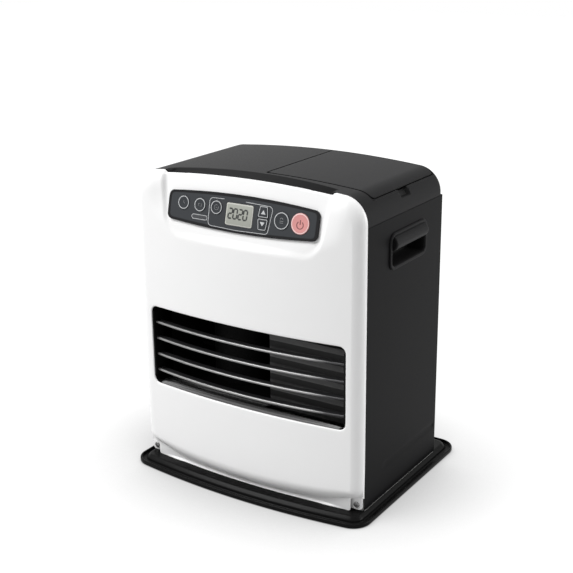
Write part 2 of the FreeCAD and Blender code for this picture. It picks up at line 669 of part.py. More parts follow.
def build_front_panel():
    """White bowed shell with a leaning control recess, a flanged window, a bottom lip and screw tabs."""
    ahead = -d.front_reach - BEYOND

    def plan(inset, back):
        return bowed_plan(half_casing, d.front_reach, d.face_radius, d.panel_corner, back, as_size(inset))

    def bowed_block(name, inset, low, back):
        upright = prism(f"{name}_plan", "XY", plan(inset, back), low, d.overall_height + BEYOND)
        seen = prism(f"{name}_seen", "XZ", casing_outline(inset, low), ahead, 0)
        return common(name, upright, seen)

    outer = bowed_block("panel_outer", 0, d.panel_low, seam)
    inner = bowed_block("panel_inner", d.shell_wall, d.panel_low - 1, as_size(-BEYOND))
    shell = cut("panel_shell", outer, inner)

    recess_block = common("recess_block", outer, recess_region("recess_grown", d.shell_wall))
    recess = recess_region("recess", 0)
    brow_block = box("brow_block", (-d.recess_half_width, d.recess_half_width), (ahead, seam + 1),
                     (shoulder_z, d.overall_height + 1))
    brow_arch = prism("brow_arch", "XZ", casing_outline(d.recess_drop, d.recess_low), ahead - 1, 0)
    brow = cut("recess_brow", brow_block, brow_arch)
    opening = on_controls(prism("fascia_opening", "XY", rounded_rectangle(
        -d.floor_opening_half_width, d.floor_opening_half_width, -d.floor_opening_half_height,
        d.floor_opening_half_height, d.fascia_corner), -d.display_board_depth, d.display_board_depth))

    def window(name, grow, back):
        wide = d.window_half_width + grow
        return prism(name, "XZ", rounded_rectangle(
            -wide, wide, d.window_low - grow, d.window_high + grow, d.window_corner + grow), ahead, back)

    flange = common("window_flange", outer, window("flange_block", d.shell_wall, -d.window_flange_back))
    light = window("window_light", as_size(0), seam + 1)

    ring_centre = (0, d.face_radius - d.front_reach)
    lip_ring = tube("lip_ring", "z", ring_centre, d.lip_low, d.lip_low + d.lip_height,
                    d.face_radius + d.lip_proud, d.face_radius + d.lip_proud - d.lip_depth)
    lip = common("bottom_lip", lip_ring, box(
        "lip_block", (-d.lip_half_width, d.lip_half_width), (ahead, seam), (0, d.tab_high)))

    corners, tabs, holes = [], [], []
    for side in (1, -1):
        corners.append(box("corner_cut", span(side, d.tab_inner, half_casing + 1), (ahead, -d.tab_plane),
                           (0, d.tab_high)))
        tabs.append(box("corner_wall", span(side, d.tab_inner - d.shell_wall, d.tab_inner),
                        (-d.front_reach + d.panel_corner, -d.tab_plane + d.shell_wall),
                        (d.panel_low, d.tab_high + d.shell_wall)))
        tabs.append(box("screw_tab", span(side, d.tab_inner - d.shell_wall, half_casing - d.shell_wall / 2),
                        (-d.tab_plane, -d.tab_plane + d.shell_wall), (d.panel_low, d.tab_high)))
        tabs.append(box("corner_roof", span(side, d.tab_inner, half_casing - d.shell_wall / 2),
                        (-d.front_reach + d.panel_corner, seam), (d.tab_high, d.tab_high + d.shell_wall)))
        holes.append(rod("tab_hole", "y", (span(side, d.tab_screw_x, 0)[0 if side > 0 else 1], d.tab_screw_z),
                         -d.tab_plane - 1, seam + 1, d.screw_shank + d.screw_clearance))
    closed = common("corner_closing", outer, fuse("corner_tabs", *tabs))
    body = cut("panel_body", fuse("panel_shape", shell, recess_block, flange), *corners)
    return cut("front_panel", fuse("panel_whole", body, closed, lip), recess, brow, opening, light, *holes)


def build_side_panels():
    """Flat steel sides with a round-cornered opening for the hand-hold."""
    half_y, half_z = d.hand_width / 2, d.hand_height / 2
    panels = []
    for side, name in ((1, "right_side_panel"), (-1, "left_side_panel")):
        x = span(side, half_casing - d.sheet_wall, half_casing)
        plate = box(f"{name}_plate", x, (behind_seam, d.casing_back), (side_low, side_high))
        opening = prism(f"{name}_opening", "YZ", rounded_rectangle(
            d.hand_y - half_y, d.hand_y + half_y, d.hand_z - half_z, d.hand_z + half_z, d.hand_corner),
            x[0] - 1, x[1] + 1)
        panels.append(cut(name, plate, opening))
    return panels


def build_handles():
    """Moulded cups in the side openings, open outwards, each with a rolled grip along its top."""
    half_y = d.hand_width / 2 - d.joint_gap
    half_z = d.hand_height / 2 - d.joint_gap
    handles = []

    def cup(name, inset, x):
        return prism(name, "YZ", rounded_rectangle(
            d.hand_y - half_y + inset, d.hand_y + half_y - inset, d.hand_z - half_z + inset,
            d.hand_z + half_z - inset, d.hand_corner - inset), *x)

    for side, name in ((1, "right_handle"), (-1, "left_handle")):
        inner_x = half_casing - d.hand_depth
        shell = cup(f"{name}_shell", as_size(0), span(side, inner_x, half_casing))
        hollow = cup(f"{name}_hollow", d.shell_wall, span(side, inner_x + d.shell_wall, half_casing + 1))
        grip_z = d.hand_z + half_z - d.grip_radius
        grip_x = span(side, half_casing - d.shell_wall, half_casing)[0 if side > 0 else 1]
        grip = rod(f"{name}_grip", "y", (grip_x, grip_z), d.hand_y - half_y + d.hand_corner,
                   d.hand_y + half_y - d.hand_corner, d.grip_radius)
        handles.append(fuse(name, cut(f"{name}_cup", shell, hollow), grip))
    return handles


def fan_rear_hole(name, radius):
    return rod(name, "y", (d.fan_x, d.fan_z), d.casing_back - BEYOND / 4, d.casing_back + 1, radius)


REAR_SCREW_ROWS = (0.1, 0.76, 0.95)


def rear_screw_places():
    """Three screws up each side of the rear panel."""
    inset = d.screw_head * 2
    wide = half_casing - d.sheet_wall - inset
    heights = [side_low + (side_high - side_low) * row for row in REAR_SCREW_ROWS]
    return [(side, height) for height in heights for side in (-wide, wide)]


def build_rear_panel():
    """Rear sheet with the fan's opening and the screw and cord holes, with its screws."""
    wide = half_casing - d.sheet_wall - d.joint_gap
    face = (d.casing_back - d.sheet_wall, d.casing_back)
    plate = box("rear_plate", (-wide, wide), face, (side_low, side_high))
    holes = [fan_rear_hole("rear_fan_hole", d.fan_opening)]
    screws = []
    for x, z in rear_screw_places():
        holes.append(rod("rear_screw_hole", "y", (x, z), face[0] - 1, face[1] + 1,
                         d.screw_shank + d.screw_clearance))
        head = rod("rear_screw_head", "y", (x, z), face[1], face[1] + d.screw_head_height, d.screw_head)
        shank = rod("rear_screw_shank", "y", (x, z), face[0] - d.screw_head, face[1] + 1, d.screw_shank)
        screws.append(fuse("rear_screw", head, shank))
    return cut("rear_panel", plate, *holes), group("rear_screws", *screws)


def build_front_screws():
    screws = []
    for x in (-d.tab_screw_x, d.tab_screw_x):
        head = rod("tab_screw_head", "y", (x, d.tab_screw_z), -d.tab_plane - d.screw_head_height,
                   -d.tab_plane, d.screw_head)
        shank = rod("tab_screw_shank", "y", (x, d.tab_screw_z), -d.tab_plane - 1,
                    seam + d.pan_wall - d.joint_gap, d.screw_shank)
        screws.append(fuse("tab_screw", head, shank))
    return group("front_screws", *screws)


def arch(name, inset, front, back):
    """A solid under the casing's crown with its upper rear edge rounded."""
    inset = as_size(inset)
    low = shoulder_z - d.shoulder_skirt
    body = prism(name, "XZ", casing_outline(inset, low), front, back)
    rear, bottom = as_size(back).value, low.value
    return dress(body, "Fillet", f"{name}_round", "Radius", d.rear_round - inset,
                 lambda edge: all(abs(vertex.Y - rear) < 0.01 for vertex in edge.Vertexes)
                 and max(vertex.Z for vertex in edge.Vertexes) > bottom + 0.01)


def build_top():
    """Crowned top cover with the tank's opening, its ledge and finger notch, and the lid that closes it."""
    outer = arch("top_outer", 0, behind_seam, d.casing_back)
    inner = arch("top_inner", d.shell_wall, behind_seam - 1, d.casing_back - d.shell_wall)
    shell = cut("top_shell", outer, inner)
    above = (shoulder_z + d.shoulder_radius / 4, d.overall_height + 1)
    lid_x, lid_y = (d.lid_left, d.lid_right), (-d.lid_front, d.lid_back)
    lid_sheet = common("lid_sheet", shell, box("lid_block", lid_x, lid_y, above))
    mouth = box("lid_mouth", (d.lid_left - d.hinge_gap, d.lid_right + d.lid_gap),
                (-d.lid_front - d.lid_gap, d.lid_back + d.lid_gap), above)

    ledge_top = d.shell_wall + d.joint_gap
    rear = d.casing_back - d.rear_round
    ledge_low = shoulder_z - d.shoulder_skirt
    ledge_outer = prism("ledge_outer", "XZ", casing_outline(d.shell_wall / 2, ledge_low), seam, rear)
    ledge_inner = prism("ledge_inner", "XZ", casing_outline(ledge_top + d.ledge_wall, ledge_low - 1),
                        seam - 1, rear + 1)
    ledge_shell = cut("ledge_shell", ledge_outer, ledge_inner)
    ledge_clear = prism("ledge_clear", "XZ", casing_outline(ledge_top, ledge_low - 1), seam - 1, rear + 1)
    near_x = hinge_x + d.hinge_lug
    far_x = d.lid_right + d.lid_gap + d.ledge_wall
    far_y = -d.lid_front - d.lid_gap - d.ledge_wall
    ledge_blocks = fuse(
        "ledge_blocks",
        box("right_ledge", (d.lid_right - d.ledge_width, far_x), (far_y, rear), above),
        box("front_ledge", (near_x, far_x), (far_y, -d.lid_front + d.ledge_width), above))
    room_block = box("ledge_room_block", (near_x - 1, d.lid_right + d.lid_gap),
                     (-d.lid_front - d.lid_gap, rear + 1), above)
    ledge_room = cut("ledge_room", room_block, ledge_clear)
    ledge = cut("lid_ledge", common("ledge_ring", ledge_shell, ledge_blocks), ledge_room)

    gutter = box("hinge_gutter", (d.lid_left - d.hinge_gap - d.shell_wall, d.lid_left - d.hinge_gap),
                 (-d.lid_front, d.well_back), (d.well_high, d.overall_height - d.shell_wall))
    notch = box("finger_notch", (d.lid_right - d.ledge_width, half_casing + 1),
                (d.notch_middle - d.notch_width / 2, d.notch_middle + d.notch_width / 2),
                (d.notch_low, d.overall_height))
    cover = cut("top_cover", fuse("cover_whole", cut("cover_shell", shell, mouth), ledge, gutter), notch)

    lugs = []
    for start in (d.hinge_front, d.hinge_back):
        low_y = start + d.hinge_lug + d.joint_gap
        high_y = low_y + d.hinge_lug
        eye = rod("lid_eye", "y", (hinge_x, hinge_z), low_y, high_y, d.hinge_lug)
        neck = box("lid_neck", (hinge_x - d.hinge_lug, hinge_x + d.hinge_lug), (low_y, high_y),
                   (hinge_z, d.overall_height - d.shell_wall))
        lugs += [eye, neck]
    bore = rod("lid_bore", "y", (hinge_x, hinge_z), d.hinge_front, d.hinge_back + BEYOND / 2,
               d.hinge_pin_radius + d.running_gap)
    lid = cut("tank_lid", fuse("lid_whole", lid_sheet, *lugs), bore)
    return cover, lid


def build_hinge():
    """Hinge pin under the lid, carried by two ears that stand on the tank well."""
    line = (hinge_x, hinge_z)
    pin_ends = (d.hinge_front - d.hinge_lug, d.hinge_back + d.hinge_lug * 3)
    pin = rod("lid_hinge_pin", "y", line, *pin_ends, d.hinge_pin_radius)
    ears = []
    for start in (d.hinge_front, d.hinge_back):
        ear = box("hinge_ear", (hinge_x - d.hinge_lug, hinge_x + d.hinge_lug), (start, start + d.hinge_lug),
                  (d.well_high, hinge_z + d.hinge_lug))
        bore = rod("ear_bore", "y", line, start - 1, start + d.hinge_lug + 1,
                   d.hinge_pin_radius + d.running_gap)
        ears.append(cut("hinge_ear_bored", ear, bore))
    return pin, group("lid_hinge_bracket", *ears)


def fascia_outline():
    """Barrel shape: straight ends, bowed top and bottom, round corners."""
    wide, corner = d.fascia_half_width, d.fascia_corner
    end, rise = d.fascia_end_half, d.fascia_mid_half - d.fascia_end_half
    flat = wide - corner
    bow = ("left", (flat * flat + rise * rise) / (rise * 2))
    turn = ("left", corner)
    return [
        (-flat, -end, bow),
        (flat, -end, turn),
        (wide, corner - end, None),
        (wide, end - corner, turn),
        (flat, end, bow),
        (-flat, end, turn),
        (-wide, end - corner, None),
        (-wide, corner - end, turn),
    ]


def round_key(x, rise, radius):
    """A round key: a function that makes its solid, grown by some margin, between two levels."""
    return lambda name, grow, low, high: rod(name, "z", (as_size(x), as_size(rise)), low, high, radius + grow)


def arrow_key(direction):
    """A tapered arrow key above or below the gap between the two, wide towards the gap."""
    near = d.arrow_rise + d.arrow_gap / 2 * direction
    far = near + d.arrow_height * direction

    def make(name, grow, low, high):
        base, tip = near - grow * direction, far + grow * direction
        wide = d.arrow_half_width + grow
        narrow = wide - d.arrow_taper
        corners = [(d.arrow_x - wide, base), (d.arrow_x + wide, base), (d.arrow_x + narrow, tip),
                   (d.arrow_x - narrow, tip)]
        if direction < 0:
            corners.reverse()
        return prism(name, "XY", polygon(*corners), low, high)

    return make


def key_shapes():
    keys = {}
    for index, name in enumerate(("timer_button", "save_button", "set_button")):
        keys[name] = round_key(d.key_first + d.key_pitch * index, d.key_rise, d.key_radius)
    keys["up_button"] = arrow_key(1)
    keys["down_button"] = arrow_key(-1)
    keys["lock_button"] = round_key(d.lock_x, 0, d.lock_radius)
    keys["power_button"] = round_key(d.power_x, 0, d.power_radius)
    return keys


def key_centres():
    rise = d.arrow_gap / 2 + d.arrow_height / 2
    return [(d.key_first + d.key_pitch * index, d.key_rise) for index in range(3)] + [
        (d.arrow_x, d.arrow_rise + rise), (d.arrow_x, d.arrow_rise - rise),
        (d.lock_x, as_size(0)), (d.power_x, as_size(0))]


def display_outline(grow):
    return rounded_rectangle(d.display_left - grow, d.display_right + grow, d.display_low - grow,
                             d.display_high + grow, d.display_corner)


def build_controls():
    """Fascia, display, indicator lens, keys and the board behind them, all on the leaning flat."""
    face = d.fascia_thickness
    half_lens_x, half_lens_y = d.lens_width / 2, d.lens_height / 2
    lens_x = (d.lens_x - half_lens_x, d.lens_x + half_lens_x)
    lens_y = (d.lens_rise - half_lens_y, d.lens_rise + half_lens_y)
    lcd_high = -d.button_flange
    board_high = -d.display_board_depth
    gap = d.button_gap
    keys = key_shapes()

    plate = prism("fascia_plate", "XY", fascia_outline(), 0, face)
    holes = [make(f"{name}_hole", gap, as_size(-1), face + 1) for name, make in keys.items()]
    holes.append(prism("display_hole", "XY", display_outline(gap), -1, face + 1))
    lens_room = rounded_rectangle(lens_x[0] - gap, lens_x[1] + gap, lens_y[0] - gap, lens_y[1] + gap,
                                  d.lens_corner + gap)
    holes.append(prism("lens_hole", "XY", lens_room, -1, face + 1))
    fascia = cut("control_fascia", plate, *holes)
    window = prism("display_window", "XY", display_outline(0), lcd_high, face - gap)
    lens_shape = rounded_rectangle(*lens_x, *lens_y, d.lens_corner)
    lens = prism("indicator_lens", "XY", lens_shape, board_high, face - gap)
    lcd = prism("lcd_panel", "XY", display_outline(d.display_corner / 4), board_high, lcd_high)

    buttons = []
    for name, make in keys.items():
        head = make(f"{name}_head", as_size(0), -d.button_flange - gap, face + d.button_proud)
        narrow_gap = d.arrow_gap / 2 - gap
        flange_width = narrow_gap if name in ("up_button", "down_button") else d.button_flange
        flange = make(f"{name}_flange", flange_width, -d.button_flange - gap, -gap)
        buttons.append(fuse(name, head, flange))

    wide, tall = d.display_board_half_width, d.display_board_half_height
    sheet_board = box("display_sheet", (-wide, wide), (-tall, tall), (board_high - d.board_wall, board_high))
    post = (d.floor_opening_half_width + wide) / 2
    fittings = [rod("board_post", "z", (x, as_size(0)), board_high - d.board_wall, -d.shell_wall - gap,
                    d.board_post_radius) for x in (-post, post)]
    switch_high = -d.button_flange - gap - d.button_travel - gap
    half = d.switch_half
    for x, y in key_centres():
        fittings.append(box("key_switch", (x - half, x + half), (y - half, y + half),
                            (board_high - 1, switch_high)))
    board = fuse("display_board", sheet_board, *fittings)
    return [on_controls(item) for item in (fascia, window, lens, lcd, board, *buttons)]


def build_grille():
    """Bowed louvres between upright end plates, and the finned shield and sloping floor behind them."""
    end = d.window_half_width - d.joint_gap - d.grille_end_wall
    louvres = []
    centre = (0, d.louvre_radius - d.louvre_reach)
    for index in range(LOUVRES):
        middle = d.louvre_top - d.louvre_pitch * index
        low, high = middle - d.louvre_thickness / 2, middle + d.louvre_thickness / 2
        ring = tube(f"louvre_ring_{index + 1}", "z", centre, low, high, d.louvre_radius,
                    d.louvre_radius - d.louvre_depth)
        louvres.append(common(f"louvre_{index + 1}", ring, box(
            f"louvre_block_{index + 1}", (-end, end), (-d.front_reach, as_size(0)), (low - 1, high + 1))))
    inside = (d.window_low + d.window_corner, d.window_high - d.window_corner)
    ends = [box("grille_end", span(side, end, end + d.grille_end_wall),
                (-d.grille_end_front, -d.grille_end_back), inside) for side in (-1, 1)]

    plate_x = (d.shield_left, end + d.grille_end_wall)
    lowest_fin = d.louvre_top + d.louvre_pitch / 2 - d.louvre_pitch * LOUVRES - d.fin_slope
    plate = box("shield_plate", plate_x, (-d.shield_plane, -d.shield_plane + d.sheet_wall),
                (lowest_fin - d.shield_skirt, d.duct_high))
    fins = []
    for index in range(LOUVRES + 1):
        level = d.louvre_top + d.louvre_pitch / 2 - d.louvre_pitch * index
        front, back = -d.shield_plane - d.fin_reach, -d.shield_plane + d.sheet_wall / 2
        fins.append(prism(f"shield_fin_{index + 1}", "YZ", polygon(
            (front, level), (back, level - d.fin_slope), (back, level - d.fin_slope + d.sheet_wall),
            (front, level + d.sheet_wall)), plate_x[0], end - d.joint_gap))
    hook = box("shield_hook", (plate_x[1] - d.grille_end_wall, plate_x[1]),
               (-d.grille_end_back, -d.shield_plane), inside)
    shield = fuse("outlet_shield", plate, hook, *fins)

    front, back = -d.window_flange_back + d.joint_gap, -d.duct_front - d.joint_gap
    front_z, back_z = d.window_low - d.shell_wall, duct_low + d.sheet_wall
    sloping_floor = prism("outlet_floor", "YZ", polygon(
        (front, front_z), (back, back_z), (back, back_z + d.sheet_wall), (front, front_z + d.sheet_wall)),
        d.duct_left, d.shield_left - d.joint_gap)
    return group("grille_louvres", *louvres), group("grille_ends", *ends), shield, sloping_floor


def build_fuel_system():
    """Tank well, lift-out tank with cap and handle, and the sump, filter, pump and pipe below it."""
    well_x, well_y = (d.well_left, well_right), (-d.well_front, d.well_back)
    wall = d.sheet_wall
    block = box("well_block", well_x, well_y, (well_low, d.well_high))
    hollow = box("well_hollow", (well_x[0] + wall, well_x[1] - wall), (well_y[0] + wall, well_y[1] - wall),
                 (well_floor, d.well_high + 1))
    mouth = rod("well_mouth", "z", cap_place, well_low - 1, well_floor + 1, d.well_mouth_radius)
    gutter = box("well_gutter", (d.lid_left - d.hinge_gap + d.joint_gap, d.well_left + wall),
                 (-d.well_front, d.well_back), (d.well_high - wall, d.well_high))
    well = fuse("tank_well", cut("well_box", block, hollow, mouth), gutter)

    room = wall + d.tank_gap
    tank_x = (well_x[0] + room, well_x[1] - room)
    tank_y = (well_y[0] + room, well_y[1] - room)

    def can(name, inset, low, high):
        outline = rounded_rectangle(tank_x[0] + inset, tank_x[1] - inset,
                                    tank_y[0] + inset, tank_y[1] - inset, d.tank_edge)
        return prism(name, "XY", outline, low, high)

    skin = can("tank_skin", as_size(0), tank_low, d.tank_top)
    fuel = can("tank_inside", d.tank_wall, tank_low + d.tank_wall, d.tank_top - d.tank_wall)
    foot = d.tank_foot_size
    feet = [box("tank_foot", x, y, (well_floor, tank_low))
            for x in ((tank_x[0] + foot, tank_x[0] + foot * 2), (tank_x[1] - foot * 2, tank_x[1] - foot))
            for y in ((tank_y[0] + foot, tank_y[0] + foot * 2), (tank_y[1] - foot * 2, tank_y[1] - foot))]
    tank = fuse("fuel_tank", cut("tank_can", skin, fuel), *feet)

    cap_low = tank_low - d.cap_drop
    cap = fuse("tank_cap", rod("cap_cup", "z", cap_place, cap_low, tank_low, d.cap_radius),
               rod("cap_valve", "z", cap_place, cap_low - d.valve_drop, cap_low + 1, d.valve_radius))
    carry_half = d.carry_width / 2
    carry_y = (cap_y - d.carry_depth / 2, cap_y + d.carry_depth / 2)
    arch_block = box("carry_block", (cap_x - carry_half, cap_x + carry_half), carry_y,
                     (d.tank_top, d.tank_top + d.carry_rise))
    room_half = carry_half - d.carry_post
    grip_room = box("carry_room", (cap_x - room_half, cap_x + room_half), (carry_y[0] - 1, carry_y[1] + 1),
                    (d.tank_top - 1, d.tank_top + d.carry_rise - d.carry_bar))
    carry = cut("tank_handle", arch_block, grip_room)

    sump_x, sump_y = (d.sump_left, well_right), (-d.well_front + room, d.well_back - room + 1)
    sump_block = box("sump_block", sump_x, sump_y, (d.sump_low, d.sump_high))
    sump_inside = box("sump_inside", (sump_x[0] + d.sump_wall, sump_x[1] - d.sump_wall),
                      (sump_y[0] + d.sump_wall, sump_y[1] - d.sump_wall),
                      (d.sump_low + d.sump_wall, d.sump_high - d.sump_wall))
    port = rod("sump_port", "z", cap_place, d.sump_high - d.sump_wall * 2, d.sump_high + 1, d.port_radius)
    leg = d.tank_foot_size
    legs = [box("sump_leg", x, y, (pan_floor, d.sump_low))
            for x in ((sump_x[0], sump_x[0] + leg), (sump_x[1] - leg, sump_x[1]))
            for y in ((sump_y[0], sump_y[0] + leg), (sump_y[1] - leg, sump_y[1]))]
    sump = fuse("sump_tank", cut("sump_box", sump_block, sump_inside, port), *legs)

    cup_radius = d.port_radius - d.joint_gap
    cup_low = d.sump_high - d.strainer_drop
    cup = rod("strainer_cup", "z", cap_place, cup_low, d.sump_high, cup_radius)
    rim = rod("strainer_rim", "z", cap_place, d.sump_high, d.sump_high + d.strainer_wall,
              cup_radius + d.strainer_flange)
    cup_inside = rod("strainer_inside", "z", cap_place, cup_low + d.strainer_wall, well_low,
                     cup_radius - d.strainer_wall)
    pin = rod("strainer_pin", "z", cap_place, cup_low, cap_low - d.valve_drop - d.joint_gap, d.valve_radius)
    strainer = fuse("fuel_filter", cut("strainer_shell", fuse("strainer_block", cup, rim), cup_inside), pin)

    pump_body = rod("pump_body", "z", (d.pump_x, d.pump_y), d.sump_high, d.pump_high, d.pump_radius)
    pump_core = rod("pump_core", "z", (d.pump_x, d.pump_y), d.pump_high - 1, d.pump_high + d.pump_core_height,
                    d.pump_core_radius)
    pump = fuse("fuel_pump", pump_body, pump_core)

    start = d.pump_y - d.pump_radius - d.joint_gap
    corner_x, corner_y = d.pump_x - d.pipe_bend, d.burner_y + d.pipe_bend
    long_run = rod("pipe_long", "y", (d.pump_x, pipe_height), corner_y, start, d.pipe_radius)
    short_run = rod("pipe_short", "x", (d.burner_y, pipe_height), d.burner_x + d.pot_radius + d.joint_gap,
                    corner_x, d.pipe_radius)
    bend = doc.addObject("Part::Torus", "pipe_elbow")
    bend.Placement = Placement(Vector(), Rotation(Vector(0, 0, 1), -90))
    bend.Angle3 = 90
    put(bend, "Radius1", d.pipe_bend)
    put(bend, "Radius2", d.pipe_radius)
    for axis, place in zip("xyz", (corner_x, corner_y, pipe_height)):
        put(bend, f"Placement.Base.{axis}", place)
    pipe = fuse("fuel_pipe", long_run, bend, short_run)
    return well, tank, cap, carry, sump, strainer, pump, pipe


def build_burner():
    """Pot burner on its stand, with head, chamber, igniter and flame rod, inside the heat duct."""
    place = (d.burner_x, d.burner_y)
    stand_inner = d.stand_radius - d.pot_wall
    stand = tube("burner_stand", "z", place, pan_floor, d.stand_high, d.stand_radius, stand_inner)
    pot_floor = d.stand_high + d.pot_wall
    pot_block = rod("pot_block", "z", place, d.stand_high, pot_high, d.pot_radius)
    pot_inside = rod("pot_inside", "z", place, pot_floor, pot_high + 1, d.pot_radius - d.pot_wall)
    bore = d.rod_radius + d.running_gap
    outside = d.burner_x - d.rod_reach
    igniter_hole = rod("igniter_hole", "x", (d.burner_y, d.igniter_height), outside, d.burner_x, bore)
    pot = cut("burner_pot", pot_block, pot_inside, igniter_hole)
    head = rod("burner_head", "z", place, pot_floor, head_high, d.head_radius)
    chamber_block = rod("chamber_block", "z", place, pot_high, d.chamber_high, d.chamber_radius)
    chamber_span = (pot_high + d.chamber_wall, d.chamber_high - d.chamber_wall)
    chamber_inside = rod("chamber_inside", "z", place, *chamber_span, d.chamber_radius - d.chamber_wall)
    chamber_mouth = rod("chamber_mouth", "z", place, pot_high - 1, pot_high + d.pot_wall,
                        d.pot_radius - d.pot_wall)
    rod_hole = rod("flame_rod_hole", "x", (d.burner_y, d.flame_rod_height), outside, d.burner_x, bore)
    chamber = cut("combustion_chamber", chamber_block, chamber_inside, chamber_mouth, rod_hole)

    def probe(name, height, wall_radius):
        line = (d.burner_y, height)
        collar = d.burner_x - wall_radius - d.joint_gap
        return fuse(name, rod(f"{name}_wire", "x", line, outside, d.burner_x - d.rod_tip, d.rod_radius),
                    rod(f"{name}_collar", "x", line, collar - d.collar_length, collar, d.collar_radius))

    igniter = probe("igniter", d.igniter_height, d.pot_radius)
    flame_rod = probe("flame_rod", d.flame_rod_height, d.chamber_radius)

    wall = d.sheet_wall
    duct_y = (-d.duct_front, d.duct_back)
    block = box("duct_block", (d.duct_left, d.duct_right), duct_y, (duct_low, d.duct_high))
    hollow = box("duct_hollow", (d.duct_left + wall, d.duct_right - wall), (duct_y[0] - 1, duct_y[1] + 1),
                 (duct_low + wall, d.duct_high - wall))
    pot_room = rod("duct_pot_room", "z", place, duct_low - 1, duct_low + wall + 1, d.pot_radius + d.joint_gap)
    duct = cut("heat_duct", block, hollow, pot_room)
    return stand, pot, head, chamber, igniter, flame_rod, duct


def bladed_wheel(name, hub_radius, tip_radius, length, blade_outline, count, bore):
    """A hub along Z from 0 with blades set round it by a polar pattern, and a bore through the middle."""
    body = doc.addObject("PartDesign::Body", name)
    circle = body.newObject("Sketcher::SketchObject", f"{name}_hub_circle")
    circle.AttachmentSupport = [(origin_feature(body, "XY_Plane"), "")]
    circle.MapMode = "FlatFace"
    for index, radius in enumerate((hub_radius, bore)):
        circle.addGeometry(Part.Circle(Vector(), Vector(0, 0, 1), radius.value), False)
        circle.addConstraint(Sketcher.Constraint("Coincident", index, 3, -1, 1))
        number = circle.addConstraint(Sketcher.Constraint("Radius", index, radius.value))
        put(circle, f"Constraints[{number}]", radius)
    hub = body.newObject("PartDesign::Pad", f"{name}_hub")
    hub.Profile = circle
    put(hub, "Length", length)
    blade_sketch = add_sketch(body, f"{name}_blade_section", "YZ", blade_outline, hub_radius - 1)
    blade = body.newObject("PartDesign::Pad", f"{name}_blade")
    blade.Profile = blade_sketch
    put(blade, "Length", tip_radius - hub_radius + 1)
    ring = body.newObject("PartDesign::PolarPattern", f"{name}_ring")
    ring.Originals = [blade]
    ring.Axis = (origin_feature(body, "Z_Axis"), [""])
    ring.Angle = 360
    ring.Occurrences = count
    body.Tip = ring
    return body


def place_turned(item, axis, centre):
    """Turn a piece made along Z to another axis and bind its place."""
    item.Placement = Placement(Vector(), AXIS_TURNS[axis])
    for letter, size in zip("xyz", centre):
        put(item, f"Placement.Base.{letter}", size)
    return item


def build_blower():
    """Combustion air blower on the base pan: housing, impeller on its shaft, motor, tube to the burner."""
    place = (d.blower_x, d.blower_y)
    block = rod("blower_block", "z", place, pan_floor, d.blower_high, d.blower_radius)
    inside = rod("blower_inside", "z", place, pan_floor + d.shell_wall, d.blower_high - d.shell_wall,
                 d.blower_radius - d.shell_wall)
    bore = d.shaft_radius + d.running_gap
    roof = (d.blower_high - d.shell_wall - 1, d.blower_high + 1)
    shaft_room = rod("blower_shaft_room", "z", place, *roof, bore + d.joint_gap)
    housing = cut("blower_housing", block, inside, shaft_room)
    motor_top = d.blower_motor_high
    motor_block = rod("blower_motor_block", "z", place, d.blower_high, motor_top, d.blower_motor_radius)
    motor_bore = rod("blower_motor_bore", "z", place, d.blower_high - 1, motor_top - d.motor_end, bore)
    motor = cut("blower_motor", motor_block, motor_bore)
    half, length = d.impeller_blade / 2, d.impeller_high - d.impeller_low
    blade = polygon((-half, as_size(0)), (half, as_size(0)), (half, length), (-half, length))
    wheel = bladed_wheel("impeller_wheel", d.impeller_hub, d.impeller_radius, length, blade, IMPELLER_BLADES,
                         d.shaft_radius / 2)
    place_turned(wheel, "z", (*place, d.impeller_low))
    shaft_top = motor_top - d.motor_end - d.joint_gap
    shaft = rod("impeller_shaft", "z", place, d.impeller_low, shaft_top, d.shaft_radius)
    impeller = fuse("blower_impeller", wheel, shaft)

    run_x, run_y = d.burner_x - d.blower_x, d.burner_y - d.blower_y
    distance = root(run_x * run_x + run_y * run_y)
    pipe = doc.addObject("Part::Cylinder", "air_tube_run")
    turn = Rotation(Vector(0, 0, 1), Vector(run_x.value, run_y.value, 0))
    pipe.Placement = Placement(Vector(), turn)
    put(pipe, "Radius", d.air_tube_radius)
    put(pipe, "Height", distance)
    for axis, size in zip("xyz", (*place, (pan_floor + d.blower_high) / 2)):
        put(pipe, f"Placement.Base.{axis}", size)
    near = rod("air_tube_near", "z", place, pan_floor, d.blower_high + 1, d.blower_radius + d.joint_gap)
    burner_place = (d.burner_x, d.burner_y)
    far = rod("air_tube_far", "z", burner_place, pan_floor, d.stand_high, d.stand_radius + d.joint_gap)
    return housing, motor, impeller, cut("air_tube", pipe, near, far)


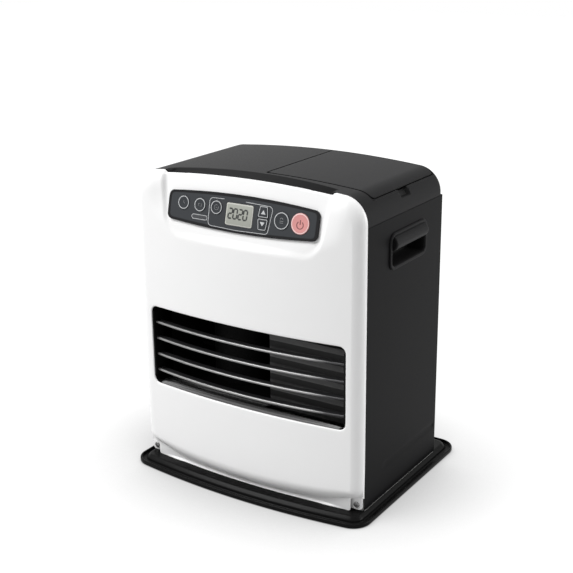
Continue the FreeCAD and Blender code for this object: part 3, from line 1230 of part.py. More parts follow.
def build_fan():
    """Convection fan in the rear opening: blades, shaft, motor, ring guard, and the filter in its frame."""
    place = (d.fan_x, d.fan_z)
    length = d.fan_back - d.fan_front
    half_chord = d.fan_blade_chord / 2
    rise = d.fan_blade_wall
    blade = polygon((-half_chord, rise), (-half_chord + rise, 0), (half_chord, length - rise),
                    (half_chord - rise, length))
    wheel = bladed_wheel("fan_wheel", d.fan_hub, d.fan_radius, length, blade, FAN_BLADES, d.shaft_radius / 2)
    place_turned(wheel, "y", (d.fan_x, d.fan_front, d.fan_z))

    disc_inner = d.casing_back + d.guard_depth - d.guard_rib
    motor_low = d.fan_back + d.fan_motor_gap
    motor_floor = disc_inner - d.motor_end
    shaft = rod("fan_shaft", "y", place, d.fan_front, motor_floor - d.joint_gap, d.shaft_radius)
    fan = fuse("fan_blades", wheel, shaft)
    motor = cut("fan_motor", rod("fan_motor_block", "y", place, motor_low, disc_inner, d.fan_motor_radius),
                rod("fan_motor_bore", "y", place, motor_low - 1, motor_floor, d.shaft_radius + d.running_gap))

    body = doc.addObject("PartDesign::Body", "guard_spider")
    circle = body.newObject("Sketcher::SketchObject", "guard_disc_circle")
    circle.AttachmentSupport = [(origin_feature(body, "XY_Plane"), "")]
    circle.MapMode = "FlatFace"
    circle.addGeometry(Part.Circle(Vector(), Vector(0, 0, 1), d.guard_disc.value), False)
    circle.addConstraint(Sketcher.Constraint("Coincident", 0, 3, -1, 1))
    put(circle, f"Constraints[{circle.addConstraint(Sketcher.Constraint('Radius', 0, d.guard_disc.value))}]",
        d.guard_disc)
    put(circle, "AttachmentOffset.Base.z", d.guard_depth - d.guard_rib)
    disc = body.newObject("PartDesign::Pad", "guard_disc_pad")
    disc.Profile = circle
    put(disc, "Length", d.guard_rib)
    leg = d.guard_outer - d.guard_flange / 2
    leg_back, disc_edge, under = leg + d.guard_rib, d.guard_disc - 1, d.guard_depth - d.guard_rib
    rib_outline = polygon((leg, 0), (leg_back, 0), (leg_back, d.guard_depth), (disc_edge, d.guard_depth),
                          (disc_edge, under), (leg, under))
    rib_sketch = add_sketch(body, "guard_rib_section", "XZ", rib_outline, -d.guard_rib / 2)
    rib = body.newObject("PartDesign::Pad", "guard_rib_pad")
    rib.Profile = rib_sketch
    put(rib, "Length", d.guard_rib)
    ring = body.newObject("PartDesign::PolarPattern", "guard_ribs")
    ring.Originals = [rib]
    ring.Axis = (origin_feature(body, "Z_Axis"), [""])
    ring.Angle = 360
    ring.Occurrences = GUARD_RIBS
    body.Tip = ring
    flange = tube("guard_flange", "z", (0, 0), 0, d.guard_rib, d.guard_outer, d.guard_outer - d.guard_flange)
    rings = []
    step = (leg - d.guard_disc) / GUARD_RINGS
    for index in range(1, GUARD_RINGS + 1):
        wire = doc.addObject("Part::Torus", "guard_ring")
        put(wire, "Radius1", d.guard_disc + step * index)
        put(wire, "Radius2", d.guard_wire)
        put(wire, "Placement.Base.z", d.guard_depth - d.guard_rib / 2)
        rings.append(wire)
    guard = place_turned(fuse("fan_guard", body, flange, *rings), "y", (d.fan_x, d.casing_back, d.fan_z))

    half, wall = d.frame_half, d.frame_wall
    out = (d.casing_back, d.casing_back + d.frame_depth)
    left, right = d.fan_x - half, d.fan_x + half
    low, high = d.fan_z - half, d.fan_z + half
    filter_y = (d.casing_back + d.filter_back - d.filter_thickness, d.casing_back + d.filter_back)
    groove_y = (filter_y[0] - d.joint_gap, filter_y[1] + d.joint_gap)
    lip = wall - d.filter_groove
    frame_block = box("frame_block", (left, right), out, (low, high))
    frame_room = box("frame_room", (left + wall, right - wall), (out[0] - 1, out[1] + 1),
                     (low + wall, high + 1))
    frame_groove = box("frame_groove", (left + lip, right - lip), groove_y, (low + lip, high + 1))
    u_frame = cut("filter_frame", frame_block, frame_room, frame_groove)
    tight = d.filter_groove - d.joint_gap
    sheet_x = (left + wall - tight, right - wall + tight)
    sheet_z = (low + wall - tight, high)
    border = d.filter_border
    border_block = box("filter_block", sheet_x, filter_y, sheet_z)
    net_x = (sheet_x[0] + border, sheet_x[1] - border)
    net_z = (sheet_z[0] + border, sheet_z[1] - border)
    net_room = box("filter_room", net_x, (filter_y[0] - 1, filter_y[1] + 1), net_z)
    net_inset = (d.filter_thickness - d.filter_net) / 2
    net_y = (filter_y[0] + net_inset, filter_y[1] - net_inset)
    rib = d.filter_rib / 2
    pieces = [cut("filter_border_ring", border_block, net_room), box("filter_net", net_x, net_y, net_z)]
    for index in range(1, FILTER_RIBS):
        across = net_x[0] + (net_x[1] - net_x[0]) * index / FILTER_RIBS
        along = net_z[0] + (net_z[1] - net_z[0]) * index / FILTER_RIBS
        pieces.append(box("filter_rib", (across - rib, across + rib), filter_y, net_z))
        pieces.append(box("filter_rib", net_x, filter_y, (along - rib, along + rib)))
    tab = d.filter_tab / 2
    pieces.append(box("filter_tab", (d.fan_x - tab, d.fan_x + tab), filter_y, (high - 1, high + border)))
    return fan, motor, guard, u_frame, fuse("air_filter", *pieces)


def build_fittings():
    """Main board and transformer, tilt switch, room sensor and the gland for the supply cord."""
    side = -half_casing + d.sheet_wall
    board_x = (side + d.main_board_stand, side + d.main_board_stand + d.board_wall)
    long = d.main_board_half
    board = box("main_sheet", board_x, (-long, long), (d.main_board_low, d.main_board_high))
    inset = d.main_board_stand
    posts = [rod("main_post", "x", (y, z), side, board_x[0] + 1, d.board_post_radius)
             for y in (inset - long, long - inset)
             for z in (d.main_board_low + inset, d.main_board_high - inset)]
    part_x = (board_x[1] - 1, board_x[1] + d.relay_depth)
    relay_low = d.main_board_low + inset
    relay = box("main_relay", part_x, (-long / 2, d.relay_length - long / 2),
                (relay_low, relay_low + d.relay_height))
    capacitor = rod("main_capacitor", "x", (long / 3, (d.main_board_low + d.main_board_high) / 2), *part_x,
                    d.capacitor_radius)
    main_board = fuse("main_board", board, relay, capacitor, *posts)

    core_x = (d.duct_left, d.duct_left + d.transformer_width)
    core_y = (seam + d.transformer_front, seam + d.transformer_front + d.transformer_depth)
    core_z = (pan_floor, pan_floor + d.transformer_height)
    inset, over = d.coil_inset, d.coil_overhang
    core = box("transformer_core", core_x, core_y, core_z)
    coil = box("transformer_coil", (core_x[0] + inset, core_x[1] - inset),
               (core_y[0] - over, core_y[1] + over), (core_z[0] + inset, core_z[1] - inset))
    transformer = fuse("transformer", core, coil)
    switch_front = seam + d.tip_switch_front
    tip_switch = box("tip_switch", (d.shield_left, d.shield_left + d.tip_switch_size),
                     (switch_front, switch_front + d.tip_switch_size),
                     (pan_floor, pan_floor + d.tip_switch_size))

    out = d.casing_back
    sensor_place = (d.sensor_x, d.sensor_z)
    clip = rod("sensor_clip", "y", sensor_place, out, out + d.sensor_clip_length, d.sensor_clip_radius)
    bulb = rod("sensor_bulb", "y", sensor_place, out + 1, out + d.sensor_length, d.sensor_radius)
    sensor = fuse("room_sensor", clip, bulb)
    gland_place = (d.gland_x, d.gland_z)
    bore_floor = out + d.gland_flange_wall
    flange = rod("gland_flange", "y", gland_place, out, bore_floor, d.gland_flange_radius)
    nose = rod("gland_nose", "y", gland_place, out + 1, out + d.gland_length, d.gland_radius)
    bore = rod("gland_bore", "y", gland_place, bore_floor, out + d.gland_length + 1, d.gland_bore)
    gland = cut("cord_gland", fuse("gland_block", flange, nose), bore)
    return main_board, transformer, tip_switch, sensor, gland


def export(pieces):
    """Check every object of the document and write each sub-part to its own file."""
    doc.recompute()
    faults = [item.Label for item in doc.Objects if {"Invalid", "Error"} & set(item.State)]
    for piece in pieces:
        if piece.Shape.isNull() or not piece.Shape.isValid() or not piece.Shape.Solids:
            faults.append(piece.Label)
    if faults:
        raise RuntimeError("failed objects: " + ", ".join(faults))
    os.makedirs("parts", exist_ok=True)
    for piece in pieces:
        piece.Shape.exportStep(f"parts/{piece.Label}.step")
        print(f"{piece.Label}: {len(piece.Shape.Solids)} solids, {piece.Shape.Volume / 1000:.1f} cm3")


export([
    build_tray(),
    build_chassis(),
    build_front_panel(),
    build_front_screws(),
    *build_side_panels(),
    *build_handles(),
    *build_rear_panel(),
    *build_top(),
    *build_hinge(),
    *build_controls(),
    *build_grille(),
    *build_fuel_system(),
    *build_burner(),
    *build_blower(),
    *build_fan(),
    *build_fittings(),
])
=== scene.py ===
"""Looks of a fan-forced paraffin heater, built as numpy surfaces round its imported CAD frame.

Shapes are worked out in millimetres and put into the meshes in metres. The origin is the middle of the floor
tray's underside, the front faces -Y, +X is to the viewer's right and +Z is up.
"""
import json
import math

import bmesh
import bpy
import numpy as np
from bpy.props import FloatProperty, FloatVectorProperty, PointerProperty
from bpy.types import Operator, Panel, PropertyGroup
from mathutils import Matrix, Vector


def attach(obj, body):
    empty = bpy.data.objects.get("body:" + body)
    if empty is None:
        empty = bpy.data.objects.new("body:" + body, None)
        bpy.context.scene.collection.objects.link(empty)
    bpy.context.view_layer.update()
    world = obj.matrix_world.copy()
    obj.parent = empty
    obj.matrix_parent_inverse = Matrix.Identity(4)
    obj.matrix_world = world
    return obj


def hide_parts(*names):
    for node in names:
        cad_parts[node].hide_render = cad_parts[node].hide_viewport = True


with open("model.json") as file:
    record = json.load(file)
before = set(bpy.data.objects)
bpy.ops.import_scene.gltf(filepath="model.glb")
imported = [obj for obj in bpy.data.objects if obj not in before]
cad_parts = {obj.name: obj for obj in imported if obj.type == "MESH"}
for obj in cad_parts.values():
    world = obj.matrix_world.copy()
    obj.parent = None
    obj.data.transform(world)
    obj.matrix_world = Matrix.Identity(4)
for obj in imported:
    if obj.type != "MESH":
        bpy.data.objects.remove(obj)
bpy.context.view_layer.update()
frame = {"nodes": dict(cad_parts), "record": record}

bl_info = {
    "name": "Paraffin heater",
    "version": (1, 0, 0),
    "blender": (4, 5, 0),
    "location": "3D View > Sidebar > Heater",
    "description": "Builds the visible pieces of a fan-forced paraffin heater on its CAD frame",
    "category": "Object",
}

MM = 0.001
# A point inside the casing, which the faces of its sheets turn away from
INSIDE = (0, 0, 200)

# Casing: its outline, the rear edge, the front strip of the top and the finger notch
HALF, SEAM, BACK, TOP = 173.0, -105.0, 97.0, 429.0
CROWN, SHOULDER = 1500.0, 34.0
CROWN_Z = TOP - CROWN
SHOULDER_X = HALF - SHOULDER
SHOULDER_Z = CROWN_Z + math.sqrt((CROWN - SHOULDER) ** 2 - SHOULDER_X ** 2)
SHOULDER_TURN = math.atan2(SHOULDER_Z - CROWN_Z, SHOULDER_X)
COVER_LOW, REAR_ROUND = 385.4, 9.0
BRINK = BACK - REAR_ROUND
SIDE_LOW, SIDE_HIGH, SIDE_ROUND = 10.3, 385.1, 1.6
STRIP_HALF, STRIP_Y, STRIP_BOW = 121.0, -82.0, 9.0
NOTCH_Y, NOTCH_LOW, NOTCH_DEEP, NOTCH_EDGE, NOTCH_FOOT = (-14.5, 10.5), 402.0, 4.5, 3.5, 4.0
# Front panel: its face, lower edge, screw tabs and control recess
FACE_RADIUS, FACE_Y, PANEL_CORNER, PANEL_BACK = 1062.0, -131.0, 25.0, SEAM - 0.4
LIP_LOW, TAB_HIGH, TAB_INNER, TAB_Y = 10.5, 30.0, 156.0, -108.0
ROLL_RADIUS, ROLL_TIGHTER, ROLL_HIGH, ROLL_RISE, ROLL_SHARE = 26.0, 10.0, 36.0, 7.0, 0.855
ROLL_X, ROLL_END = (100.0, 160.0), 150.0
FLARE, FLARE_X, FLARE_Z = 2.5, (150.0, 118.0), (13.2, 11.0)
EAR_SHARE, EAR_OUTER, EAR_INNER, EAR_Z = 0.6, (154.0, 122.0), (98.0, 116.0), (338.0, 383.0)
RECESS_HALF, RECESS_TAPER, RECESS_HIGH, RECESS_LOW = 131.0, 0.14, 425.0, 341.0
RECESS_ROUND, RECESS_WALL, RECESS_LEAST, RECESS_SOFT = 27.0, 7.0, 1.4, 2.0
RECESS_DROP, BROW_ROUND, BROW_WALL = 3.8, 2.0, 6.0
STRIP_FALL, STRIP_FADE = RECESS_DROP + 0.9, 6.0
TAB_SCREW = (163.0, 20.0)
REAR_SCREW_X, REAR_SCREWS = 164.0, (47.8, 295.0, 366.0)
# Grille window
WINDOW_HALF, WINDOW_LOW, WINDOW_HIGH, WINDOW_CORNER = 152.0, 124.5, 236.0, 9.0
SLEEVE_BACK = -112.0
LOUVRES = (210.7, 187.5, 164.3, 141.1)
FIN_LOW, FIN_PITCH = 129.5, 23.2
LOUVRE_RADIUS, LOUVRE_Y, LOUVRE_HALF, LOUVRE_DEPTH = 783.0, -128.8, 151.4, 12.0
# Control panel
TILT = math.radians(13.7)
CONTROL_Y, CONTROL_Z = -117.5, 382.3
FASCIA_HALF, FASCIA_RISE, FASCIA_BARREL = 114.0, 24.0, 5.0
FASCIA_FACE, KEY_TOP, KEY_FOOT = 2.2, 3.1, -0.4
ROUND_KEYS = {"timer": (-89.5, 4.3, 9.0), "save": (-63.5, 4.3, 9.0), "set": (-37.5, 4.3, 9.0),
              "lock": (61.2, 0.0, 11.0)}
POWER_X, POWER_RADIUS = 88.2, 13.0
ARROW_X, ARROW_RISE = 34.0, -0.4
PILL_X, PILL_RISE, PILL_HIGH = -62.6, -11.3, 2.8
# Hand-holds
HAND_Y, HAND_Z, HAND_CORNER = (-48.0, 46.0), (320.0, 362.0), 8.0
HAND_FLOOR, GRIP_X, GRIP_Z, GRIP_RADIUS = 147.0, 171.0, 351.6, 10.0
# Lid and the mouth it covers
LID_X, LID_Y, LID_CORNER = (11.0, 162.0), (-73.6, 87.0), 4.5
MOUTH_X, MOUTH_Y, MOUTH_CORNER = (8.5, 163.0), (-77.0, 89.4), 5.0
HINGE_X, HINGE_Z, KNUCKLES = 22.5, 422.5, (-52.0, 68.0)
# Camera: azimuth, elevation and roll in degrees, and the point it aims at
CAMERA_TURN, CAMERA_AIM = (33.23, 18.20, -0.62), (0.0409, -0.0795, 0.2842)


# Arithmetic on curves

def ease(t):
    """Smooth step: three t squared less two t cubed, held between 0 and 1."""
    t = np.clip(t, 0.0, 1.0)
    return t * t * (3.0 - 2.0 * t)


def rise(value, start, end):
    """Smooth step of a value from 0 at the start to 1 at the end, which may lie below the start."""
    return ease((value - start) / (end - start))


def larger(a, b, softness):
    """Rounded maximum: half of the sum and of the root of squared difference plus squared softness."""
    return 0.5 * (a + b + np.sqrt((a - b) ** 2 + softness ** 2))


def arc(centre, radius, start, end, count):
    """Points on a circle between two angles in degrees."""
    angle = np.radians(np.linspace(start, end, count))
    return np.stack([centre[0] + radius * np.cos(angle), centre[1] + radius * np.sin(angle)], 1)


def resample(line, count):
    """A line cut into count equal steps by its length, both ends kept."""
    line = np.asarray(line, float)
    steps = np.linalg.norm(np.diff(line, axis=0), axis=1)
    along = np.concatenate([[0.0], np.cumsum(steps)])
    wanted = np.linspace(0.0, along[-1], count + 1)
    return np.stack([np.interp(wanted, along, line[:, k]) for k in range(line.shape[1])], 1)


def chain(sections, counts):
    """Sections end to end, each cut into its own count of steps; returns every point but the last one."""
    return np.concatenate([resample(line, count)[:-1] for line, count in zip(sections, counts)])


def corners(left, right, low, high, inset=0.0):
    """Corners of a rectangle drawn in by a distance, anticlockwise from its lower left one."""
    left, right, low, high = left + inset, right - inset, low + inset, high - inset
    return [(left, low), (right, low), (right, high), (left, high)]


def rounded_rectangle(left, right, low, high, radius, steps=8):
    """Anticlockwise outline of a rectangle whose corners are quarter circles."""
    centres = corners(left, right, low, high, radius)
    turns = [arc(centres[side - 3], radius, 90 * side - 90, 90 * side, steps) for side in range(4)]
    return np.concatenate(turns)


def rounded_polygon(points, radii, steps=7):
    """Anticlockwise polygon with each corner replaced by an arc that touches both its sides."""
    points = np.asarray(points, float)
    pieces = []
    for index, radius in enumerate(radii):
        here = points[index]
        before = points[index - 1] - here
        after = points[(index + 1) % len(points)] - here
        before, after = before / np.linalg.norm(before), after / np.linalg.norm(after)
        half = 0.5 * math.acos(np.clip(before @ after, -1, 1))
        middle = (before + after) / np.linalg.norm(before + after)
        centre = here + middle * radius / math.sin(half)
        first = here + before * radius / math.tan(half) - centre
        last = here + after * radius / math.tan(half) - centre
        start = math.degrees(math.atan2(first[1], first[0]))
        end = math.degrees(math.atan2(last[1], last[0]))
        pieces.append(arc(centre, radius, start, start + (end - start) % 360, steps))
    return np.concatenate(pieces)


def sideways(line, closed):
    """Unit vectors to the right of a line's direction; outwards on an anticlockwise loop."""
    if closed:
        along = np.roll(line, -1, 0) - np.roll(line, 1, 0)
    else:
        along = np.gradient(line, axis=0)
    along = along / np.maximum(np.linalg.norm(along, axis=1, keepdims=True), 1e-9)
    return np.stack([along[:, 1], -along[:, 0]], 1)


def ridges(share, places, width):
    """Rounded ridges across a plate: a bell curve of the given width at each place."""
    return sum(np.exp(-((share - place) / width) ** 2) for place in places)


# Meshes

class Skin:
    """Patches of one piece: points in millimetres, faces, and the number of the finish on each face."""

    def __init__(self):
        self.points, self.quads, self.paints, self.caps = [], [], [], []
        self.count = 0

    def patch(self, grid, wrap=False, paint=0, inside=None, way=1):
        """Quads over a grid of points; wrap joins the last column to the first.

        Where an inside point is given, the faces are turned away from it, or towards it with way -1.
        """
        rows, columns = grid.shape[:2]
        index = np.arange(rows * columns).reshape(rows, columns)
        if wrap:
            index = np.concatenate([index, index[:, :1]], 1)
        quads = np.stack([index[:-1, :-1], index[:-1, 1:], index[1:, 1:], index[1:, :-1]], -1)
        shape = quads.shape[:2]
        quads = quads.reshape(-1, 4)
        flat = grid.reshape(-1, 3)
        if inside is not None:
            a, b, c, d = (flat[quads[:, k]] for k in range(4))
            outward = np.cross(c - a, d - b)
            if way * np.sum(outward * ((a + c) / 2 - np.asarray(inside, float))) < 0:
                quads = quads[:, ::-1]
        self.quads.append(quads + self.count)
        paint = np.asarray(paint)
        paint = paint if paint.ndim == 2 else paint.reshape(-1, 1)
        self.paints.append(np.broadcast_to(paint, shape).reshape(-1))
        self.points.append(flat)
        self.count += len(flat)
        return self

    def cap(self, loop, paint=0):
        """One flat face over a loop of points."""
        self.caps.append((list(range(self.count, self.count + len(loop))), paint))
        self.points.append(loop)
        self.count += len(loop)
        return self


def make(name, skin, finishes, slot=None, body="heater", replaces=(), wall=0.0, bevel=0.0, crease=38.0):
    """Put a skin into a mesh object that rides on a body; the slot argument is not used.

    Doubled points are merged. A closed skin has its faces turned outwards. A skin that gets a wall is open:
    it keeps the way its patches face, and the wall lies behind them.
    """
    slot = slot or finishes[0]
    mesh = bpy.data.meshes.new(name)
    faces = np.concatenate(skin.quads).tolist() + [loop for loop, paint in skin.caps]
    paints = np.concatenate(skin.paints).tolist() + [paint for loop, paint in skin.caps]
    mesh.from_pydata((np.concatenate(skin.points) * MM).tolist(), [], faces)
    for finish in finishes:
        mesh.materials.append(FINISHES[finish])
    mesh.polygons.foreach_set("material_index", np.asarray(paints, np.int32))
    work = bmesh.new()
    work.from_mesh(mesh)
    bmesh.ops.remove_doubles(work, verts=work.verts, dist=2e-6)
    bmesh.ops.dissolve_degenerate(work, edges=work.edges, dist=1e-7)
    if not wall:
        bmesh.ops.recalc_face_normals(work, faces=work.faces)
    work.to_mesh(mesh)
    work.free()
    piece = bpy.data.objects.new(name, mesh)
    bpy.context.scene.collection.objects.link(piece)
    if wall:
        solid = piece.modifiers.new("wall", "SOLIDIFY")
        solid.thickness = wall * MM
        solid.offset = -1.0
        solid.use_even_offset = False
    if bevel:
        edge = piece.modifiers.new("edge", "BEVEL")
        edge.width = bevel * MM
        edge.segments = 2
        edge.limit_method = "ANGLE"
        edge.angle_limit = math.radians(55)
    if wall or bevel:
        bpy.context.view_layer.update()
        graph = bpy.context.evaluated_depsgraph_get()
        finished = bpy.data.meshes.new_from_object(piece.evaluated_get(graph))
        piece.modifiers.clear()
        piece.data = finished
        bpy.data.meshes.remove(mesh)
        finished.name = name
        mesh = finished
    mesh.shade_smooth()
    mesh.set_sharp_from_angle(angle=math.radians(crease))
    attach(piece, body)
    if replaces:
        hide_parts(*replaces)
    return piece


def upright(x, y, z):
    """Points in the object's own frame."""
    return np.stack(np.broadcast_arrays(x, y, z), -1).astype(float)


def on_controls(x, v, n):
    """Points on the leaning control panel: v runs up its slope and n stands out of it."""
    y = CONTROL_Y + v * math.sin(TILT) - n * math.cos(TILT)
    z = CONTROL_Z + v * math.cos(TILT) + n * math.sin(TILT)
    return upright(x, y, z)


def slab(skin, outline, low, high, bevel, place, paint=0):
    """A plate: an outline carried from a low to a high level, drawn in along quarter circles at both."""
    out = sideways(outline, True)
    turn = np.radians(np.linspace(0, 90, 4))
    inset = np.concatenate([bevel * (1 - np.sin(turn)), bevel * (1 - np.cos(turn))])
    level = np.concatenate([low + bevel * (1 - np.cos(turn)), high - bevel * (1 - np.sin(turn))])
    loops = outline[None] - out[None] * inset[:, None, None]
    grid = place(loops[..., 0], loops[..., 1], level[:, None])
    return skin.patch(grid, wrap=True, paint=paint).cap(grid[0], paint).cap(grid[-1], paint)


def ribbon(skin, path, width, low, high, closed, paint=0):
    """A flat strip on the control panel: a low rectangular profile carried along a path."""
    out = sideways(path, closed) * width / 2
    loops = np.stack([path - out, path - out, path + out, path + out])
    grid = on_controls(loops[..., 0], loops[..., 1], np.array([low, high, high, low])[:, None])
    grid = np.concatenate([grid, grid[:1]])
    skin.patch(grid, wrap=closed, paint=paint)
    if not closed:
        skin.cap(grid[:4, 0], paint).cap(grid[:4, -1], paint)


def turned(skin, radius, level, place, count, centre=(0.0, 0.0), paint=0):
    """A turned shape: each pair of radius and level makes a circle round the centre."""
    angle = np.linspace(0, 2 * np.pi, count, endpoint=False)
    radius, level = np.asarray(radius, float)[:, None], np.asarray(level, float)[:, None]
    grid = place(centre[0] + radius * np.cos(angle), centre[1] + radius * np.sin(angle), level)
    skin.patch(grid, wrap=True, paint=paint)


# Shape of the casing

def casing_depth(x, z):
    """How deep a point lies inside the casing's outline: from its side, its shoulder arc or its crown arc."""
    side, high = np.abs(x) - SHOULDER_X, z - SHOULDER_Z
    crown = CROWN - np.hypot(x, z - CROWN_Z)
    shoulder = SHOULDER - np.hypot(side, high)
    depth = np.where(np.arctan2(high, side) > SHOULDER_TURN, crown, shoulder)
    return np.where(high < 0, HALF - np.abs(x), depth)


def crown_height(x, inset=0.0):
    """Height of the crown arc, or of the arc that lies a distance below it."""
    return CROWN_Z + np.sqrt((CROWN - inset) ** 2 - x ** 2)


def casing_line():
    """The casing's outline from the left skirt over the top to the right one.

    Rows are its length, x, z and the outward x and z.
    """
    turn = math.degrees(SHOULDER_TURN)
    level = np.linspace(SHOULDER_Z, COVER_LOW, 6)
    skirt = np.column_stack([np.full(6, HALF), level, np.ones(6), np.zeros(6)])
    parts = [skirt[::-1] * (-1, 1, -1, 1)]
    for x, z, radius, start, end, count in ((-SHOULDER_X, SHOULDER_Z, SHOULDER, 180, 180 - turn, 60),
                                            (0.0, CROWN_Z, CROWN, 180 - turn, turn, 220),
                                            (SHOULDER_X, SHOULDER_Z, SHOULDER, turn, 0, 60)):
        parts.append(np.hstack([arc((x, z), radius, start, end, count), arc((0, 0), 1, start, end, count)]))
    line = np.concatenate([*parts, skirt])
    length = np.concatenate([[0.0], np.cumsum(np.hypot(*np.diff(line[:, :2], axis=0).T))])
    keep = np.concatenate([[True], np.diff(length) > 1e-6])
    return np.column_stack([length, line])[keep].T


# Length along the casing's outline with its points and outward ways, and which of them are top and right
LINE, LINE_X, LINE_Z, LINE_OUT_X, LINE_OUT_Z = casing_line()
ON_TOP, ON_RIGHT = LINE_Z > SHOULDER_Z + 1.0, LINE_X > SHOULDER_X
NOTCH_END = np.interp(-NOTCH_LOW, -LINE_Z[ON_RIGHT], LINE[ON_RIGHT])


def line_length(x):
    """Length along the casing's outline where it passes a given x on the top."""
    return np.interp(x, LINE_X[ON_TOP], LINE[ON_TOP])


def rear_run(y):
    """Run over the casing's top that reaches a given y near the round of its rear edge."""
    return BRINK + REAR_ROUND * math.asin((y - BRINK) / REAR_ROUND)


def strip_crease(x):
    """Where the sloping front strip of the cover begins: a parabola that bows to the front at its ends."""
    return STRIP_Y - STRIP_BOW * (x / STRIP_HALF) ** 2


def cover_point(length, run, dents=1.0):
    """The casing's top: the outline carried back, then drawn in along a quarter circle at the rear edge.

    Dents sink the front strip between the white panel's ears and the finger notch on the right shoulder.
    """
    lines = (LINE_X, LINE_Z, LINE_OUT_X, LINE_OUT_Z)
    x, z, out_x, out_z = (np.interp(length, LINE, values) for values in lines)
    turn = np.clip((run - BRINK) / REAR_ROUND, 0, np.pi / 2)
    y = np.where(run < BRINK, run, BRINK + REAR_ROUND * np.sin(turn))
    crease = strip_crease(x)
    slope = np.clip((crease - y) / (crease - SEAM), 0, None)
    strip = STRIP_FALL * slope * rise(np.abs(x), STRIP_HALF + STRIP_FADE, STRIP_HALF)
    start, end = NOTCH_Y
    notch = rise(y, start, start + NOTCH_EDGE) * rise(y, end, end - NOTCH_EDGE)
    notch = NOTCH_DEEP * notch * rise(length, NOTCH_END, NOTCH_END - NOTCH_FOOT) * (x > SHOULDER_X)
    inset = REAR_ROUND * (1 - np.cos(turn)) + dents * (strip + notch)
    return np.stack([x - out_x * inset, y, z - out_z * inset], -1)


def face_y(x):
    """Plan of the bowed front face: a circle arc."""
    return FACE_Y + FACE_RADIUS - np.sqrt(FACE_RADIUS ** 2 - x ** 2)


def panel_y(x, z):
    """The white panel's surface as a depth over the front view.

    A bowed face turns back along a quarter ellipse near the casing's outline. A leaning flat is sunk into it
    with eased walls and a rounded brow, and the ears beside it sink towards it. The lower edge rolls under
    along a circle arc, which gets tighter and higher towards the ends and stays in front of the screw tabs.
    Its middle flares out into a lip.
    """
    wide = np.abs(x)
    depth = np.clip(casing_depth(x, z), 0, PANEL_CORNER)
    lead = face_y(np.minimum(wide, HALF - PANEL_CORNER))
    turn = np.sqrt(np.clip(1 - (1 - depth / PANEL_CORNER) ** 2, 0, 1))
    y = np.maximum(face_y(wide), lead + (PANEL_BACK - lead) * (1 - turn))

    lean = CONTROL_Y + (z - CONTROL_Z) * math.tan(TILT)
    side, low = RECESS_HALF - RECESS_TAPER * (RECESS_HIGH - z) - wide, z - RECESS_LOW
    corner = RECESS_ROUND - np.hypot(RECESS_ROUND - side, RECESS_ROUND - low)
    inner = np.where((side < RECESS_ROUND) & (low < RECESS_ROUND), corner, np.minimum(side, low))
    ear = rise(wide, *EAR_OUTER) * rise(wide, *EAR_INNER) * rise(z, *EAR_Z)
    y = y + EAR_SHARE * ear * np.clip(lean - y, 0, None)
    y = y + ease(inner / RECESS_WALL) * larger(lean - y, RECESS_LEAST, RECESS_SOFT)
    brow = np.clip(crown_height(x) - RECESS_DROP - z, 0, BROW_ROUND)
    turn = BROW_ROUND - np.sqrt(BROW_ROUND ** 2 - (BROW_ROUND - brow) ** 2)
    y = y + turn * ease(inner / BROW_WALL)

    radius = ROLL_RADIUS - ROLL_TIGHTER * rise(wide, *ROLL_X)
    fall = np.clip(ROLL_HIGH + ROLL_RISE * (wide / ROLL_END) ** 2 - z, 0, ROLL_SHARE * radius)
    rolled = y + radius - np.sqrt(radius ** 2 - fall ** 2)
    y = np.minimum(rolled, np.maximum(TAB_Y - 0.6, y))
    y = y - FLARE * rise(z, *FLARE_Z) * rise(wide, *FLARE_X)
    return np.minimum(y, SEAM - 1.0)


def mirrored(half):
    """A loop from its right half, which runs down from the top middle to the bottom middle."""
    left = half[-2:0:-1] * np.array([-1.0, 1.0])
    return np.concatenate([half, left])


def window_loop(grow, counts):
    """The grille window's outline grown by a distance, each half cut to match the panel's columns."""
    r = WINDOW_CORNER + grow
    right, low, high = WINDOW_HALF + grow, WINDOW_LOW - grow, WINDOW_HIGH + grow
    upper, lower = (right - r, high - r), (right - r, low + r)
    top = np.concatenate([[[0.0, high]], arc(upper, r, 90, 45, 8)])
    side = np.concatenate([arc(upper, r, 45, 0, 8), arc(lower, r, 0, -45, 8)])
    foot = np.concatenate([arc(lower, r, -45, -90, 8), [[0.0, low]]])
    return mirrored(np.concatenate([chain([top, side, foot], counts), [[0.0, low]]]))


# Finishes

class Nodes:
    """A node tree being put together; numbers go straight onto the sockets."""

    def __init__(self, tree):
        self.tree = tree

    def node(self, kind, inputs=None, **settings):
        """A new node with its settings and inputs."""
        made = self.tree.nodes.new(kind)
        for key, value in settings.items():
            setattr(made, key, value)
        for key, value in (inputs or {}).items():
            self.feed(made.inputs[key], value)
        return made

    def feed(self, socket, value):
        """Link a socket to an output, or set it to a number or colour."""
        if isinstance(value, bpy.types.NodeSocket):
            self.tree.links.new(value, socket)
        else:
            socket.default_value = value

    def math(self, operation, *values):
        """Result of one step of arithmetic."""
        return self.node("ShaderNodeMath", dict(enumerate(values)), operation=operation).outputs[0]

    def span(self, value, low, high, start=0.0, end=1.0):
        """A value carried from the range of start and end to that of low and high, and held at both."""
        ports = {"Value": value, "From Min": start, "From Max": end, "To Min": low, "To Max": high}
        return self.node("ShaderNodeMapRange", ports).outputs["Result"]

    def seen(self):
        """1 for a ray that shows a surface to the camera: straight, mirrored or through glass."""
        rays = self.node("ShaderNodeLightPath").outputs
        clear = self.math("MAXIMUM", rays["Is Camera Ray"], rays["Is Transmission Ray"])
        return self.math("MAXIMUM", rays["Is Glossy Ray"], clear)


